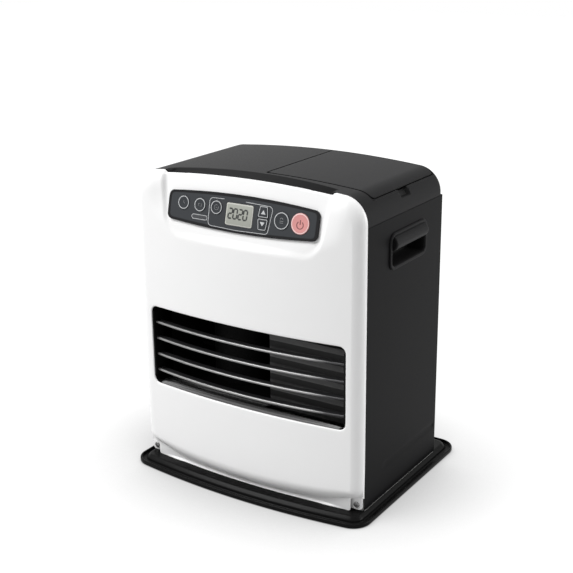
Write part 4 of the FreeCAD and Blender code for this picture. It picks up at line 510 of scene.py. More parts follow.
class Finish(Nodes):
    """A node material; patterns read Object coordinates."""

    def __init__(self, name):
        self.material = bpy.data.materials.new(name)
        self.material.use_nodes = True
        super().__init__(self.material.node_tree)
        self.shader = self.tree.nodes["Principled BSDF"]
        self.place = self.node("ShaderNodeTexCoord").outputs["Object"]

    def noise(self, scale, detail=3.0, stretch=None):
        """Noise over the piece, drawn out along its axes where a stretch is given."""
        place = self.place
        if stretch:
            place = self.node("ShaderNodeMapping", {"Vector": place, "Scale": stretch}).outputs["Vector"]
        ports = {"Vector": place, "Scale": scale, "Detail": detail}
        return self.node("ShaderNodeTexNoise", ports).outputs["Fac"]

    def mix(self, share, *tones):
        """Two tones mixed by a share."""
        tones = [tone if isinstance(tone, bpy.types.NodeSocket) else (*tone[:3], 1.0) for tone in tones]
        ports = {0: share, 6: tones[0], 7: tones[1]}
        return self.node("ShaderNodeMix", ports, data_type="RGBA").outputs[2]

    def part(self, axis):
        """One coordinate of the point."""
        return self.node("ShaderNodeSeparateXYZ", {0: self.place}).outputs[axis]

    def set(self, **values):
        """Feed the shader's sockets, named in small letters."""
        for key, value in values.items():
            self.feed(self.shader.inputs[key.replace("_", " ").title().replace("Ior", "IOR")], value)
        return self

    def relief(self, height, strength, depth):
        """Fine relief that follows a height."""
        bump = self.node("ShaderNodeBump", {"Strength": strength, "Distance": depth, "Height": height})
        self.feed(self.shader.inputs["Normal"], bump.outputs["Normal"])
        return self


def shades(colour, drift):
    """A colour made darker and lighter by a share."""
    return [[max(0.0, c * k) for c in colour[:3]] for k in (1 - drift, 1 + drift)]


def plain_finish(name, colour, rough, drift, cloud=16.0, grain=800.0, relief=0.15, depth=0.0002, sway=0.05,
                 **fixed):
    """Paint or moulding: colour drifts with a broad noise; roughness and relief follow a fine grain."""
    made = Finish(name)
    fine = made.noise(grain)
    made.set(base_color=made.mix(made.noise(cloud, 4.0), *shades(colour, drift)),
             roughness=made.span(fine, rough - sway, rough + sway, 0.3, 0.7), **fixed)
    return made.relief(fine, relief, depth).material


def metal_finish(name, colour, rough, stretch, drift=0.12, stain=None):
    """Metal with drawn streaks along one way and, where given, a stain in broad clouds."""
    made = Finish(name)
    streak = made.noise(90.0, 5.0, stretch)
    base = made.mix(streak, *shades(colour, drift))
    if stain:
        base = made.mix(made.span(made.noise(22.0, 6.0), 0.0, 0.85, 0.45, 0.7), base, stain)
    made.set(base_color=base, roughness=made.span(streak, rough - 0.08, rough + 0.1), metallic=1.0)
    return made.relief(streak, 0.08, 0.0002).material


def fascia_finish(name, film, border):
    """Slate film inside a black border: the border is where a point nears the fascia's barrel-shaped edge."""
    made = Finish(name)

    def sum_of(operation, first, first_share, second, second_share):
        return made.math(operation, made.math("MULTIPLY", first, first_share),
                         made.math("MULTIPLY", second, second_share))

    x = made.math("DIVIDE", made.math("ABSOLUTE", made.part("X")), MM)
    y = made.math("DIVIDE", made.math("SUBTRACT", made.part("Y"), CONTROL_Y * MM), MM)
    z = made.math("DIVIDE", made.math("SUBTRACT", made.part("Z"), CONTROL_Z * MM), MM)
    up = sum_of("ADD", y, math.sin(TILT), z, math.cos(TILT))
    out = sum_of("SUBTRACT", z, math.sin(TILT), y, math.cos(TILT))
    bend = made.math("MULTIPLY", FASCIA_BARREL / FASCIA_HALF ** 2, made.math("MULTIPLY", x, x))
    edge = made.math("SUBTRACT", FASCIA_RISE, bend)
    over = made.math("SUBTRACT", edge, made.math("ABSOLUTE", up))
    near = made.math("SMOOTH_MIN", over, made.math("SUBTRACT", FASCIA_HALF, x), 8.0)
    border_edge, face_edge = (3.7, 4.3), (FASCIA_FACE - 0.2, FASCIA_FACE - 0.05)
    within, on_face = made.span(near, 0.0, 1.0, *border_edge), made.span(out, 0.0, 1.0, *face_edge)
    inside = made.math("MULTIPLY", within, on_face)
    grain = made.noise(1500.0, 2.0)
    tone = made.mix(made.noise(30.0, 3.0), *shades(film, 0.05))
    made.set(base_color=made.mix(inside, border, tone), roughness=made.span(grain, 0.34, 0.46),
             specular_ior_level=0.2)
    return made.relief(grain, 0.05, 0.0001).material


def nose_highlight_and_shade_finish(name, bright, dark):
    """A louvre's nose, light grey as a painted highlight on the black blade, which darkens towards its right
    end behind the window's edge as painted shade.
    """
    made = Finish(name)
    streak = made.noise(120.0, 4.0, (0.15, 1.0, 1.0))
    tone = made.mix(streak, *shades(bright, 0.08))
    # Painted shade: from x of 100 mm to 124 mm the nose fades to the dark tone.
    fade = (0.1, 0.124)
    far = made.span(made.part("X"), 0.0, 1.0, *fade)
    made.set(base_color=made.mix(far, tone, dark), roughness=made.span(streak, 0.24, 0.4), metallic=0.35)
    return made.relief(streak, 0.05, 0.0001).material


def shield_fin_shade_finish(name, bright, dark):
    """Finned plate: grey above each fin and painted shade, near-black, below the next one where that fin
    casts its shadow; a saw-tooth of the height.
    """
    made = Finish(name)
    above = made.math("SUBTRACT", made.part("Z"), (FIN_LOW - 10.0) * MM)
    tooth = made.math("FRACT", made.math("ADD", made.math("DIVIDE", above, FIN_PITCH * MM), 10.0))
    below, next_fin = made.span(tooth, 0.0, 1.0, 0.52, 0.66), made.span(tooth, 1.0, 0.0, 0.98, 1.0)
    # Painted shade: the band under each fin where its shadow falls on the plate.
    painted_shade = made.math("MULTIPLY", below, next_fin)
    grain = made.noise(900.0, 3.0)
    tone = made.mix(made.noise(20.0, 4.0), *shades(bright, 0.12))
    made.set(base_color=made.mix(painted_shade, tone, dark), roughness=made.span(grain, 0.42, 0.6),
             specular_ior_level=0.25)
    return made.relief(grain, 0.15, 0.0002).material


def board_finish(name, colour):
    """Circuit board: bright tracks on a square raster over green lacquer."""
    made = Finish(name)
    ports = {"Vector": made.place, "Scale": 60.0, "Mortar Size": 0.03}
    tracks = made.node("ShaderNodeTexBrick", ports).outputs["Fac"]
    tone = made.mix(made.noise(40.0, 3.0), *shades(colour, 0.15))
    made.set(base_color=made.mix(tracks, tone, [0.25, 0.5, 0.28]), roughness=0.4)
    return made.relief(tracks, 0.1, 0.0001).material


def display_finish(name, colour):
    """Display glass: a fine raster of cells over a grey-green ground, under a clear coat."""
    made = Finish(name)
    cells = made.node("ShaderNodeTexVoronoi", {"Vector": made.place, "Scale": 1400.0}).outputs["Distance"]
    made.set(base_color=made.mix(made.span(cells, 0.0, 0.35), *shades(colour, 0.06)),
             roughness=made.span(cells, 0.3, 0.4), coat_weight=0.3)
    return made.material


def mesh_finish(name, colour):
    """Filter: a woven net of dark threads, waves across the panel's width and height multiplied together."""
    made = Finish(name)
    ports = {"Vector": made.place, "Scale": 130.0}
    waves = [made.node("ShaderNodeTexWave", ports, bands_direction=way).outputs["Fac"] for way in ("X", "Z")]
    weave = made.math("MULTIPLY", *waves)
    made.set(base_color=made.mix(weave, [0.02, 0.02, 0.022], [c * 1.6 for c in colour]),
             roughness=made.span(weave, 0.7, 0.5))
    return made.relief(weave, 0.6, 0.0004).material


FINISHES = {}


def make_finishes(looks):
    """Every finish, by the record's slot or by its own name."""
    printed = (0.05, 80.0, 1500.0, 0.05)
    # Columns: name, colour, roughness, drift of the colour, cloud and grain scales, relief, its depth, sway
    plain = {
        "white_panel": ("satin white paint", looks.white, 0.36, 0.012, 9.0, 700.0, 0.05, 0.0001, 0.03),
        "black_paint": ("satin black paint", looks.black_paint, 0.38, 0.1, 12.0, 1100.0, 0.12, 0.0001, 0.04),
        "black_moulding": ("grained black moulding", looks.black_moulding, 0.44, 0.08, 14.0, 1500.0, 0.2,
                           0.0001),
        "black_tray": ("gloss black tray", looks.tray, 0.3, 0.12, 10.0, 900.0, 0.02, 0.0001, 0.03),
        "display_pane": ("clear pane", (0.45, 0.48, 0.46), 0.12, 0.03),
        "lens": ("indicator lens", (0.04, 0.042, 0.046), 0.25, 0.1, 60.0, 900.0, 0.1),
        "dark_key": ("slate key", looks.key, 0.38, 0.06, 60.0, 1500.0, 0.12, 0.0001),
        "power_key": ("salmon key", looks.power_key, 0.42, 0.05, 60.0, 1500.0, 0.12, 0.0001),
        "louvre_steel": ("louvre black", (0.012, 0.012, 0.013), 0.4, 0.15, 20.0, 900.0, 0.15),
        "outlet_grey": ("heat-proof grey", looks.outlet, 0.45, 0.12, 20.0, 900.0, 0.2),
        # Near-black: the outlet sleeve's black, and painted shade in the hand-holds' cups and on the parts
        # behind the grille.
        "outlet_black": ("soot black", (0.0025, 0.0025, 0.0025), 0.7, 0.2, 20.0, 600.0, 0.3),
        "motor_black": ("black enamel", (0.045, 0.045, 0.05), 0.38, 0.12, 18.0, 700.0, 0.2),
        "fan_grey": ("grey moulding", (0.28, 0.29, 0.3), 0.45, 0.08, 18.0, 1100.0, 0.2),
        "print": ("pale print", looks.print_tone, 0.5, *printed),
        "faint_print": ("faint print", (0.2, 0.205, 0.21), 0.5, *printed),
        "segment": ("display segment", (0.02, 0.022, 0.02), 0.35, *printed),
        "bezel": ("display bezel", (0.5, 0.5, 0.46), 0.4, 0.05, 60.0, 1200.0, 0.1),
        "power_ring": ("pale salmon ring", (0.84, 0.66, 0.64), 0.45, 0.05, 60.0, 1500.0, 0.05),
        "power_mark": ("power mark", (0.16, 0.05, 0.05), 0.45, 0.05, 60.0, 1500.0, 0.05),
    }
    shine = {"black_paint": 0.03, "black_moulding": 0.05, "black_tray": 0.05, "dark_key": 0.2,
             "outlet_black": 0.1}
    fixed = {slot: {"specular_ior_level": level} for slot, level in shine.items()}
    fixed["white_panel"] = {"coat_weight": 0.12, "coat_roughness": 0.25}
    for slot, values in plain.items():
        FINISHES[slot] = plain_finish(*values, **fixed.get(slot, {}))
    FINISHES.update({
        "dark_fascia": fascia_finish("slate film", looks.fascia, (0.006, 0.006, 0.007)),
        "lcd_cell": display_finish("display glass", looks.display),
        "louvre_nose": nose_highlight_and_shade_finish("louvre nose with painted highlight and shade", looks.louvre_nose, (0.03, 0.03, 0.032)),
        "shield": shield_fin_shade_finish("finned plate with painted shade", looks.outlet, (0.004, 0.004, 0.004)),
        "bare_steel": metal_finish("galvanised steel", (0.55, 0.55, 0.54), 0.38, (0.2, 1.0, 1.0)),
        "burner_iron": metal_finish("burnt iron", (0.2, 0.18, 0.17), 0.55, (1.0, 1.0, 0.2), 0.25,
                                    (0.12, 0.07, 0.05)),
        "fuel_brass": metal_finish("drawn brass", (0.72, 0.5, 0.26), 0.32, (1.0, 1.0, 0.15), 0.1,
                                   (0.45, 0.3, 0.16)),
        "screw_steel": metal_finish("plated screw", (0.2, 0.2, 0.2), 0.34, (1.0, 1.0, 1.0)),
        "circuit_green": board_finish("circuit board", (0.05, 0.2, 0.09)),
        "filter_grey": mesh_finish("filter net", (0.12, 0.12, 0.13)),
    })


# CAD nodes that show through the grille or under the lid, with a finish other than their slot's. The parts
# behind the grille take the near-black finish as painted shade, and the outlet shield the plate finish with
# painted shade under its fins.
OTHER_FINISH = {
    "heat_duct": "outlet_black", "grille_ends": "outlet_black", "combustion_chamber": "outlet_black",
    "igniter": "outlet_black", "flame_rod": "outlet_black", "burner_head": "outlet_black",
    "outlet_shield": "shield", "lid_hinge_bracket": "black_paint",
}


def dress_cad_nodes():
    """Give each CAD node the finish of its slot in the record, or the one that it has instead."""
    slots = {entry["node"]: entry["material_slot"] for entry in frame["record"]["subparts"]}
    for name, node in frame["nodes"].items():
        slot = OTHER_FINISH.get(name, slots.get(name, ""))
        for place in node.material_slots:
            place.material = FINISHES.get(slot, FINISHES["bare_steel"])


# Pieces

def build_tray():
    """Floor tray: a profile of inset and height carried round a plan with a bowed front and round corners."""
    half, reach, bow, corner = 185.5, 149.5, 1072.0, 26.0
    middle = bow - reach
    x, back = half - corner, reach - corner
    front = middle - math.sqrt((bow - corner) ** 2 - x ** 2)
    touch = math.degrees(math.atan2(x, middle - front))

    def plan(inset):
        r = corner - inset
        side, rear = half - inset, reach - inset
        return np.concatenate([
            arc((0, middle), bow - inset, 270 - touch, 270 + touch, 61)[:-1],
            arc((x, front), r, 270 + touch, 360, 14),
            resample([(side, front), (side, back)], 24)[1:-1],
            arc((x, back), r, 0, 90, 14),
            resample([(x, rear), (-x, rear)], 30)[1:-1],
            arc((-x, back), r, 90, 180, 14),
            resample([(-side, back), (-side, front)], 24)[1:-1],
            arc((-x, front), r, 180, 270 - touch, 14)[:-1]])

    # Inset and height along the rim, the gutter and the platform
    profile = [(4.0, 0.0), (1.4, 0.0), (0.5, 0.4), (0.05, 1.3), (0.0, 2.5), (0.0, 4.4), (0.12, 5.1),
               (0.5, 5.7), (1.1, 6.0), (1.8, 6.0), (2.4, 5.75), (2.85, 5.2), (3.1, 4.4),
               (3.4, 3.3), (3.9, 2.5), (4.8, 2.05), (6.0, 2.0), (8.4, 2.0), (9.2, 2.15), (9.8, 2.7),
               (10.1, 3.6), (10.3, 4.7), (10.7, 5.6), (11.4, 6.4), (14.2, 9.2), (14.9, 9.75),
               (15.8, 10.0), (17.0, 10.0), (24.0, 10.0)]
    rows = np.stack([np.insert(plan(inset), 2, level, axis=1) for inset, level in profile])
    skin = Skin().patch(rows, wrap=True).cap(rows[0][::-1]).cap(rows[-1])
    make("floor_tray", skin, ["black_tray"], replaces=["base_tray"])


def panel_loops():
    """The white panel's outer edge and a loop drawn in from it, each mirrored from eight matched sections.

    The sections are brow, shoulder, upper side, side, foot of the side, top and side of the cut over the
    screw tab, and lower edge. Also returned are the share of each column that is lower edge, and the counts
    of columns that face the window's top, side and foot.
    """
    counts = (76, 16, 20, 36, 8, 12, 14, 84)
    step, round_off, upper, foot_high, near_low = 13.5, 8, 300, 74, 68
    turn, shoulder = math.degrees(SHOULDER_TURN), (SHOULDER_X, SHOULDER_Z)
    foot, side = TAB_INNER - 3.0, HALF - step
    reach = SHOULDER_X / (CROWN - SHOULDER)
    x, near_x = np.linspace(0, reach * CROWN, 200), np.linspace(0, reach * (CROWN - step), 200)
    outer = [np.column_stack([x, crown_height(x) - RECESS_DROP * rise(x, 130.0, 124.0)]),
             arc(shoulder, SHOULDER, turn, 0, 30),
             [(HALF, SHOULDER_Z), (HALF, upper)], [(HALF, upper), (HALF, foot_high)],
             [(HALF, foot_high), (HALF, TAB_HIGH)],
             np.concatenate([[(HALF, TAB_HIGH)], arc((TAB_INNER + 5, TAB_HIGH - 5), 5, 90, 180, 8)]),
             np.concatenate([[(TAB_INNER, TAB_HIGH - 5)], arc((foot, LIP_LOW + 3), 3, 0, -90, 6)]),
             [(foot, LIP_LOW), (0, LIP_LOW)]]
    near = [np.column_stack([near_x, crown_height(near_x, step)]),
            arc(shoulder, SHOULDER - step, turn, 0, 30),
            [(side, SHOULDER_Z), (side, upper)], [(side, upper), (side, foot_high + 8)],
            [(side, foot_high + 8), (side, near_low + round_off)],
            arc((side - round_off, near_low + round_off), round_off, 0, -90, 6),
            [(side - round_off, near_low), (foot - 6, near_low)], [(foot - 6, near_low), (0, near_low)]]
    loops = [mirrored(np.concatenate([chain(line, counts), [line[-1][-1]]])) for line in (outer, near)]
    share = np.concatenate([np.zeros(sum(counts[:4])), ease(np.linspace(0, 1, counts[4])),
                            np.ones(sum(counts[5:]) + 1)])
    share = np.concatenate([share, share[-2:0:-1]])
    return loops[0], loops[1], share, (sum(counts[:3]), counts[3], sum(counts[4:]))


def build_front_panel(wall):
    """White front shell: rings from the casing's outline in to the grille window, each point given its depth.

    The first rings follow the round along the outline, or the roll and lip along the lower edge. The last
    ones turn in round the window's edge.
    """
    outer, near, share, counts = panel_loops()
    round_edge, return_depth, knee = 2.0, 3.0, 0.46
    hole, far = window_loop(0.0, counts), window_loop(round_edge + 3.0, counts)
    steps = np.linspace(0, 1, 40)[:, None]
    weight = (1 - share) * (1 - np.cos(steps * np.pi / 2)) + share * steps ** 1.6
    edge_rows = outer + (near - outer) * weight[..., None]
    across = np.concatenate([np.linspace(0, knee, 26)[1:], np.linspace(knee, 1, 9)[1:]])
    flat = np.concatenate([edge_rows, near + (far - near) * across[:, None, None]])
    grid = upright(flat[..., 0], panel_y(flat[..., 0], flat[..., 1]), flat[..., 1])
    skirt = grid[:1].copy()
    skirt[..., 1] = skirt[..., 1] * share + PANEL_BACK * (1 - share)
    turn = np.radians(np.linspace(0, 90, 6))
    turn_in = hole + (window_loop(round_edge, counts) - hole) * (1 - np.sin(turn))[:, None, None]
    sunk = panel_y(turn_in[..., 0], turn_in[..., 1]) + (round_edge * (1 - np.cos(turn)))[:, None]
    rim = upright(turn_in[..., 0], sunk, turn_in[..., 1])
    inner_edge = rim[-1:] + np.array([0.0, return_depth, 0.0])
    skin = Skin().patch(np.concatenate([skirt, grid, rim, inner_edge]), wrap=True, inside=INSIDE)
    make("front_shell", skin, ["white_panel"], replaces=["front_panel"], wall=wall, crease=62.0)


def build_screw_tabs():
    """White screw tabs behind the cut-back corners: plates with rounded corners."""
    skin = Skin()
    low, thick = 13, 2.0
    plate = rounded_polygon(corners(TAB_INNER - 3, HALF - 2.0, low, TAB_HIGH + 3), (2, 5, 1, 1))
    for side in (1, -1):
        slab(skin, plate, 0.0, thick, 0.5, lambda u, v, n: upright(side * u, TAB_Y + thick - n, v))
    make("screw_tabs", skin, ["white_panel"], replaces=["front_panel"])


def screw_head(skin, place, radius, height=2.0):
    """A pan head on a polar grid: a flattened dome less a cross-shaped driver recess, then its rim."""
    r = np.concatenate([np.linspace(0, 1, 22), [1.0, 1.0]])[:, None] * radius
    angle = np.linspace(0, 2 * np.pi, 64, endpoint=False)[None]
    u, v = r * np.cos(angle), r * np.sin(angle)
    dome = height * (0.55 + 0.45 * np.sqrt(np.clip(1 - (r / radius) ** 2, 0, 1)))
    narrow, reach = 0.17 * radius, 0.62 * radius
    arms = [rise(np.abs(a), narrow, narrow - 0.25) * rise(np.abs(b), reach, reach - 0.3)
            for a, b in ((u, v), (v, u))]
    level = dome - 0.9 * np.maximum(*arms)
    level[-2:] = np.array([[0.3 * height], [-0.2]])
    skin.patch(place(u, v, level), wrap=True)


def build_screws(radius):
    """Front and rear screws."""
    front, rear = Skin(), Skin()
    x, z = TAB_SCREW
    for side in (1, -1):
        screw_head(front, lambda u, v, n: upright(side * x + u, TAB_Y - n, z + v), radius)
        for height in REAR_SCREWS:
            screw_head(rear, lambda u, v, n: upright(side * REAR_SCREW_X - u, BACK + n, height + v), radius)
    make("tab_screws", front, ["screw_steel"], replaces=["front_screws"])
    make("panel_screws", rear, ["screw_steel"], replaces=["rear_screws"])


def rings_between(outer, inner, counts, radius, rows):
    """Rings of points that pass in even steps from a square-cornered rectangle to a round-cornered one in it.

    Both rectangles are cut side by side into the same counts; each side of the inner one takes in half of the
    corner arc at either end.
    """
    ends, centres = corners(*outer), corners(*inner, radius)
    big, small = [], []
    for side in range(4):
        start, after = 225 + 90 * side, side - 3
        big.append([ends[side], ends[after]])
        small.append(np.concatenate([arc(centres[side], radius, start, start + 45, 7),
                                     arc(centres[after], radius, start + 45, start + 90, 7)]))
    outline, hole = chain(big, counts), chain(small, counts)
    return outline + (hole - outline) * np.linspace(0, 1, rows)[:, None, None]


def build_side_panels():
    """Steel sides: rings from the sheet's edge in to the hand-hold, with rounded edges and a pressed crease.

    The crease is a bell curve of the height, faded out by smooth steps at its front and rear end.
    """
    crease_deep, crease_z, crease_width, crease_front = 0.9, 56, 2.2, (-62, -48)
    top_sharper = 3.0
    flat = rings_between((SEAM + 0.3, BACK, SIDE_LOW, SIDE_HIGH), (*HAND_Y, *HAND_Z), (60, 110, 60, 110),
                         HAND_CORNER, 70)
    y, z = flat[..., 0], flat[..., 1]
    edge = np.minimum.reduce([BACK - y, z - SIDE_LOW, top_sharper * (SIDE_HIGH - z)])
    short = SIDE_ROUND - np.clip(edge, 0, SIDE_ROUND)
    rounded = SIDE_ROUND - np.sqrt(np.clip(SIDE_ROUND ** 2 - short ** 2, 0, None))
    fade = rise(y, *crease_front) * rise(y, BACK - 4, BACK - 12)
    crease = crease_deep * ridges(z, [crease_z], crease_width) * fade
    for side, name in ((1, "right"), (-1, "left")):
        skin = Skin().patch(upright(side * (HALF - rounded - crease), y, z), wrap=True, inside=INSIDE)
        make(f"{name}_side", skin, ["black_paint"], replaces=[f"{name}_side_panel"], wall=1.0)


def build_handles():
    """Hand-holds: a rounded tapering cup with a flared rim, whose inner walls and floor are painted
    near-black as shade, and a rolled grip.

    The cup carries a profile of inset and x round a rounded rectangle. The grip is turned about a line along
    Y and stands on a web.
    """
    inset, x = np.array([
        (-1.6, HALF + 0.1), (-1.7, HALF + 0.7), (-1.3, HALF + 1.2), (-0.5, HALF + 1.3), (0.4, HALF + 1.0),
        (1.0, HALF - 0.2), (1.4, HALF - 3), (2.0, HALF - 12), (3.0, HAND_FLOOR + 4.4),
        (4.6, HAND_FLOOR + 2.6), (7.0, HAND_FLOOR + 2.0)]).T
    loop = rounded_rectangle(*HAND_Y, *HAND_Z, HAND_CORNER + 1.0, 10)
    loops = loop[None] - sideways(loop, True)[None] * inset[:, None, None]
    floor = np.stack([loops[-1], np.broadcast_to(loops[-1].mean(0), loop.shape)])
    # Painted shade: rows past the flared rim, the cup's inner walls, take the near-black finish, and so does
    # its floor.
    shade_painted_rows = (np.arange(len(inset) - 1) > 4).astype(int)
    middle = sum(HAND_Z) / 2

    start, end, r = HAND_Y[0] + 4.0, HAND_Y[1] - 4.0, GRIP_RADIUS
    along = np.array([0.0, 0.0, 0.15, 0.6, 1.3, 2.2, 4.0])
    level = np.concatenate([start + along, (end - along)[::-1]])
    radius = np.array([0.0, r - 2.2, r - 1.3, r - 0.6, r - 0.2, r, r])
    radius = np.concatenate([radius, radius[::-1]])
    web_right, web_low, web_high = 172, 352, 359.5
    web = rounded_polygon(corners(HAND_FLOOR + 3, web_right, web_low, web_high), (1,) * 4)

    for side, name in ((1, "right"), (-1, "left")):
        skin = Skin()
        skin.patch(upright(side * x[:, None], loops[..., 0], loops[..., 1]), wrap=True, paint=shade_painted_rows,
                   inside=(side * 400, 0, middle))
        skin.patch(upright(side * x[-1], floor[..., 0], floor[..., 1]), wrap=True, paint=1,
                   inside=(side * (HAND_FLOOR + 1), 0, middle))
        make(f"{name}_hand_cup", skin, ["black_moulding", "outlet_black"], replaces=[f"{name}_handle"],
             wall=1.4)
        grip = Skin()
        turned(grip, radius, level, lambda u, v, n: upright(side * (GRIP_X + u), n, GRIP_Z + v), 56)
        slab(grip, web, start + 3, end - 3, 0.6, lambda u, v, n: upright(side * u, n, v))
        make(f"{name}_grip", grip, ["black_moulding"], replaces=[f"{name}_handle"])


def build_top_cover(wall):
    """Top cover: rings on the casing's top from its outer edge in to the tank mouth, and the rear wall.

    The sloping front strip, in front of its crease, has the darker black paint finish as painted shade.
    """
    rim_deep = 5.0
    end_run = BRINK + REAR_ROUND * np.pi / 2
    mouth = (*line_length(MOUTH_X), MOUTH_Y[0], rear_run(MOUTH_Y[1]))
    flat = rings_between((0.0, LINE[-1], SEAM + 0.3, end_run), mouth, (150, 84, 150, 84), MOUTH_CORNER, 64)
    grid = cover_point(flat[..., 0], flat[..., 1])
    rim = grid[-1:] - np.array([0.0, 0.0, rim_deep]) * np.linspace(0, 1, 6)[1:, None, None]
    rings = np.concatenate([grid, rim])
    x, y = ((rings[:-1] + rings[1:]) / 2)[..., :2].transpose(2, 0, 1)
    # Painted shade: faces of the sloping front strip take the darker black paint.
    strip = (np.abs(x) < STRIP_HALF + 3.0) & (y < strip_crease(x))
    skin = Skin().patch(rings, wrap=True, paint=strip.astype(int), inside=(0, 0, 250))
    skirt = SHOULDER_Z - COVER_LOW
    brink = cover_point(np.linspace(skirt, LINE[-1] - skirt, 160), np.full(160, end_run))
    foot = brink.copy()
    foot[:, 2] = COVER_LOW
    skin.patch(brink + (foot - brink) * np.linspace(0, 1, 12)[:, None, None], inside=(0, 0, 400))
    make("top_shell", skin, ["black_moulding", "black_paint"], replaces=["top_cover"], wall=wall)


def build_lid(wall):
    """Tank lid: a patch of the casing's top whose rows shorten along quarter circles at its corners.

    Its front and rear edge turn down into flanges, and two knuckles with arms hold it to the hinge pin.
    """
    front_flange, back_flange = 8.0, 6.0
    front, back = LID_Y[0], rear_run(LID_Y[1])
    ends = LID_CORNER * (1 - np.cos(np.radians(np.linspace(0, 90, 9))))
    run = np.concatenate([front + ends, np.linspace(front + LID_CORNER, back - LID_CORNER, 64)[1:-1],
                          (back - ends)[::-1]])
    short = np.clip(LID_CORNER - np.minimum(run - front, back - run), 0, None)
    shorter = LID_CORNER - np.sqrt(np.clip(LID_CORNER ** 2 - short ** 2, 0, None))
    left, right = line_length(LID_X[0]) + shorter, line_length(LID_X[1]) - shorter
    length = left[:, None] + (right - left)[:, None] * np.linspace(0, 1, 80)
    grid = cover_point(length, np.broadcast_to(run[:, None], length.shape), 0.0)
    down = np.array([0.0, 0.0, -1.0])
    grid = np.concatenate([grid[:1] + front_flange * down, grid, grid[-1:] + back_flange * down])
    skin = Skin().patch(grid, inside=(80, 0, 100))
    make("lid_shell", skin, ["black_moulding"], body="lid", replaces=["tank_lid"], wall=wall, bevel=0.7)

    knuckles = Skin()
    bore, barrel = 1.6, 3.0
    radius = np.array([bore, barrel - 0.4, barrel, barrel, barrel - 0.4, bore, bore])
    level = np.array([-4.0, -4.0, -3.6, 3.6, 4.0, 4.0, -4.0])
    arm = np.array([(1.2, 1.4), (8, 2.5), (8, 4.6), (-1, 4.6)]) + (HINGE_X, HINGE_Z)
    for middle in KNUCKLES:
        turned(knuckles, radius, middle + level, lambda u, v, n: upright(HINGE_X + u, n, HINGE_Z + v), 32)
        slab(knuckles, rounded_polygon(arm, (0.4,) * 4), middle - 3.4, middle + 3.4, 0.3,
             lambda u, v, n: upright(u, n, v))
    make("lid_knuckles", knuckles, ["black_moulding"], body="lid", replaces=["tank_lid"])


def build_outlet():
    """Warm-air outlet: a black sleeve inside the window with a grey sill, and a floor that slopes back.

    Rounded ridges, bell curves of the depth, cross both the sill and the floor.
    """
    sheet = 0.8
    loop = window_loop(-0.35, (112, 36, 118))
    x, z = loop.T
    front = panel_y(x, z) + 1.9
    share = np.linspace(0, 1, 40)[:, None]
    sill = (z < WINDOW_LOW + 1.0) & (np.abs(x) < WINDOW_HALF - WINDOW_CORNER)
    grid = upright(x, front + (SLEEVE_BACK - front) * share, z + ridges(share, (0.32, 0.74), 0.09) * sill)
    grey = np.broadcast_to((sill & np.roll(sill, -1))[::-1], (len(share) - 1, len(loop)))
    skin = Skin().patch(grid[:, ::-1], wrap=True, paint=grey.astype(int), inside=(0, -122, 180), way=-1)
    make("outlet_sleeve", skin, ["outlet_black", "outlet_grey"], "motor_black", replaces=["front_panel"],
         wall=sheet)

    left, right, lead, deep, high, drop, ridge = -151.6, 21.6, -111.6, 33.2, 122.4, 5.2, 1.6
    x, share = np.meshgrid(np.linspace(left, right, 60), np.linspace(0, 1, 90))
    level = high - drop * share + ridge * ridges(share, (0.16, 0.42, 0.68), 0.035)
    skin = Skin().patch(upright(x, lead + deep * share, level), inside=(-65, -95, 0))
    make("outlet_ramp", skin, ["outlet_grey"], "motor_black", replaces=["outlet_floor"], wall=sheet)


def build_louvres(nose):
    """Louvres: a flat profile with a half-round nose carried along a bowed line."""
    depth, tail = LOUVRE_DEPTH, 0.7
    half_round = np.radians(np.linspace(90, 270, 15))
    back = np.concatenate([nose + nose * np.cos(half_round), [3.4, 6.0, 9.0, depth - 0.3, depth],
                           [depth, depth - 0.3, 9.0, 6.0, 3.4]])
    level = np.concatenate([nose * np.sin(half_round), [-nose, -1.4, -1.1, -tail - 0.1, -tail + 0.2],
                            [tail - 0.2, tail + 0.1, 1.1, 1.4, nose]])
    # Painted highlight: faces round the nose take the light grey nose finish, the rest of the blade the black
    # one.
    dark = np.where(np.roll(back, -1) + back < 4.4, 0, 1)
    x = np.linspace(-LOUVRE_HALF, LOUVRE_HALF, 121)
    bow = np.cos(np.arcsin(x / LOUVRE_RADIUS))
    y = LOUVRE_Y + LOUVRE_RADIUS - (LOUVRE_RADIUS - back[:, None]) * bow
    skin = Skin()
    for height in LOUVRES:
        grid = upright(x, y, height + level[:, None])
        skin.patch(np.concatenate([grid, grid[:1]]), paint=dark).cap(grid[:, 0], 1).cap(grid[:, -1], 1)
    make("louvres", skin, ["louvre_nose", "louvre_steel"], "louvre_steel", replaces=["grille_louvres"])


def round_key(skin, centre, radius):
    """A round key: a shallow dish turned from the middle to a proud rim, with its ring in a second finish."""
    dish_deep = 0.35
    r = np.concatenate([np.array([0.0, 0.3, 0.55, 0.75]) * radius,
                        radius - np.array([1.7, 1.6, 0.75, 0.65, 0.3, 0.08, 0.0, 0.0, 0.0]), [0.0]])
    dish = KEY_TOP - dish_deep + dish_deep * (r[:5] / r[4]) ** 2
    rim = KEY_TOP - np.array([0.0, 0.0, 0.02, 0.1, 0.3, 0.6])
    paint = np.zeros(len(r) - 1, int)
    paint[5:7] = 1
    turned(skin, r, np.concatenate([dish, rim, [0.4, KEY_FOOT, KEY_FOOT]]), on_controls, 72, centre, paint)


def stroke(skin, line, width, top):
    """A printed stroke on a key, in the third finish."""
    ribbon(skin, np.asarray(line, float), width, top - 0.05, top + 0.06, False, 2)


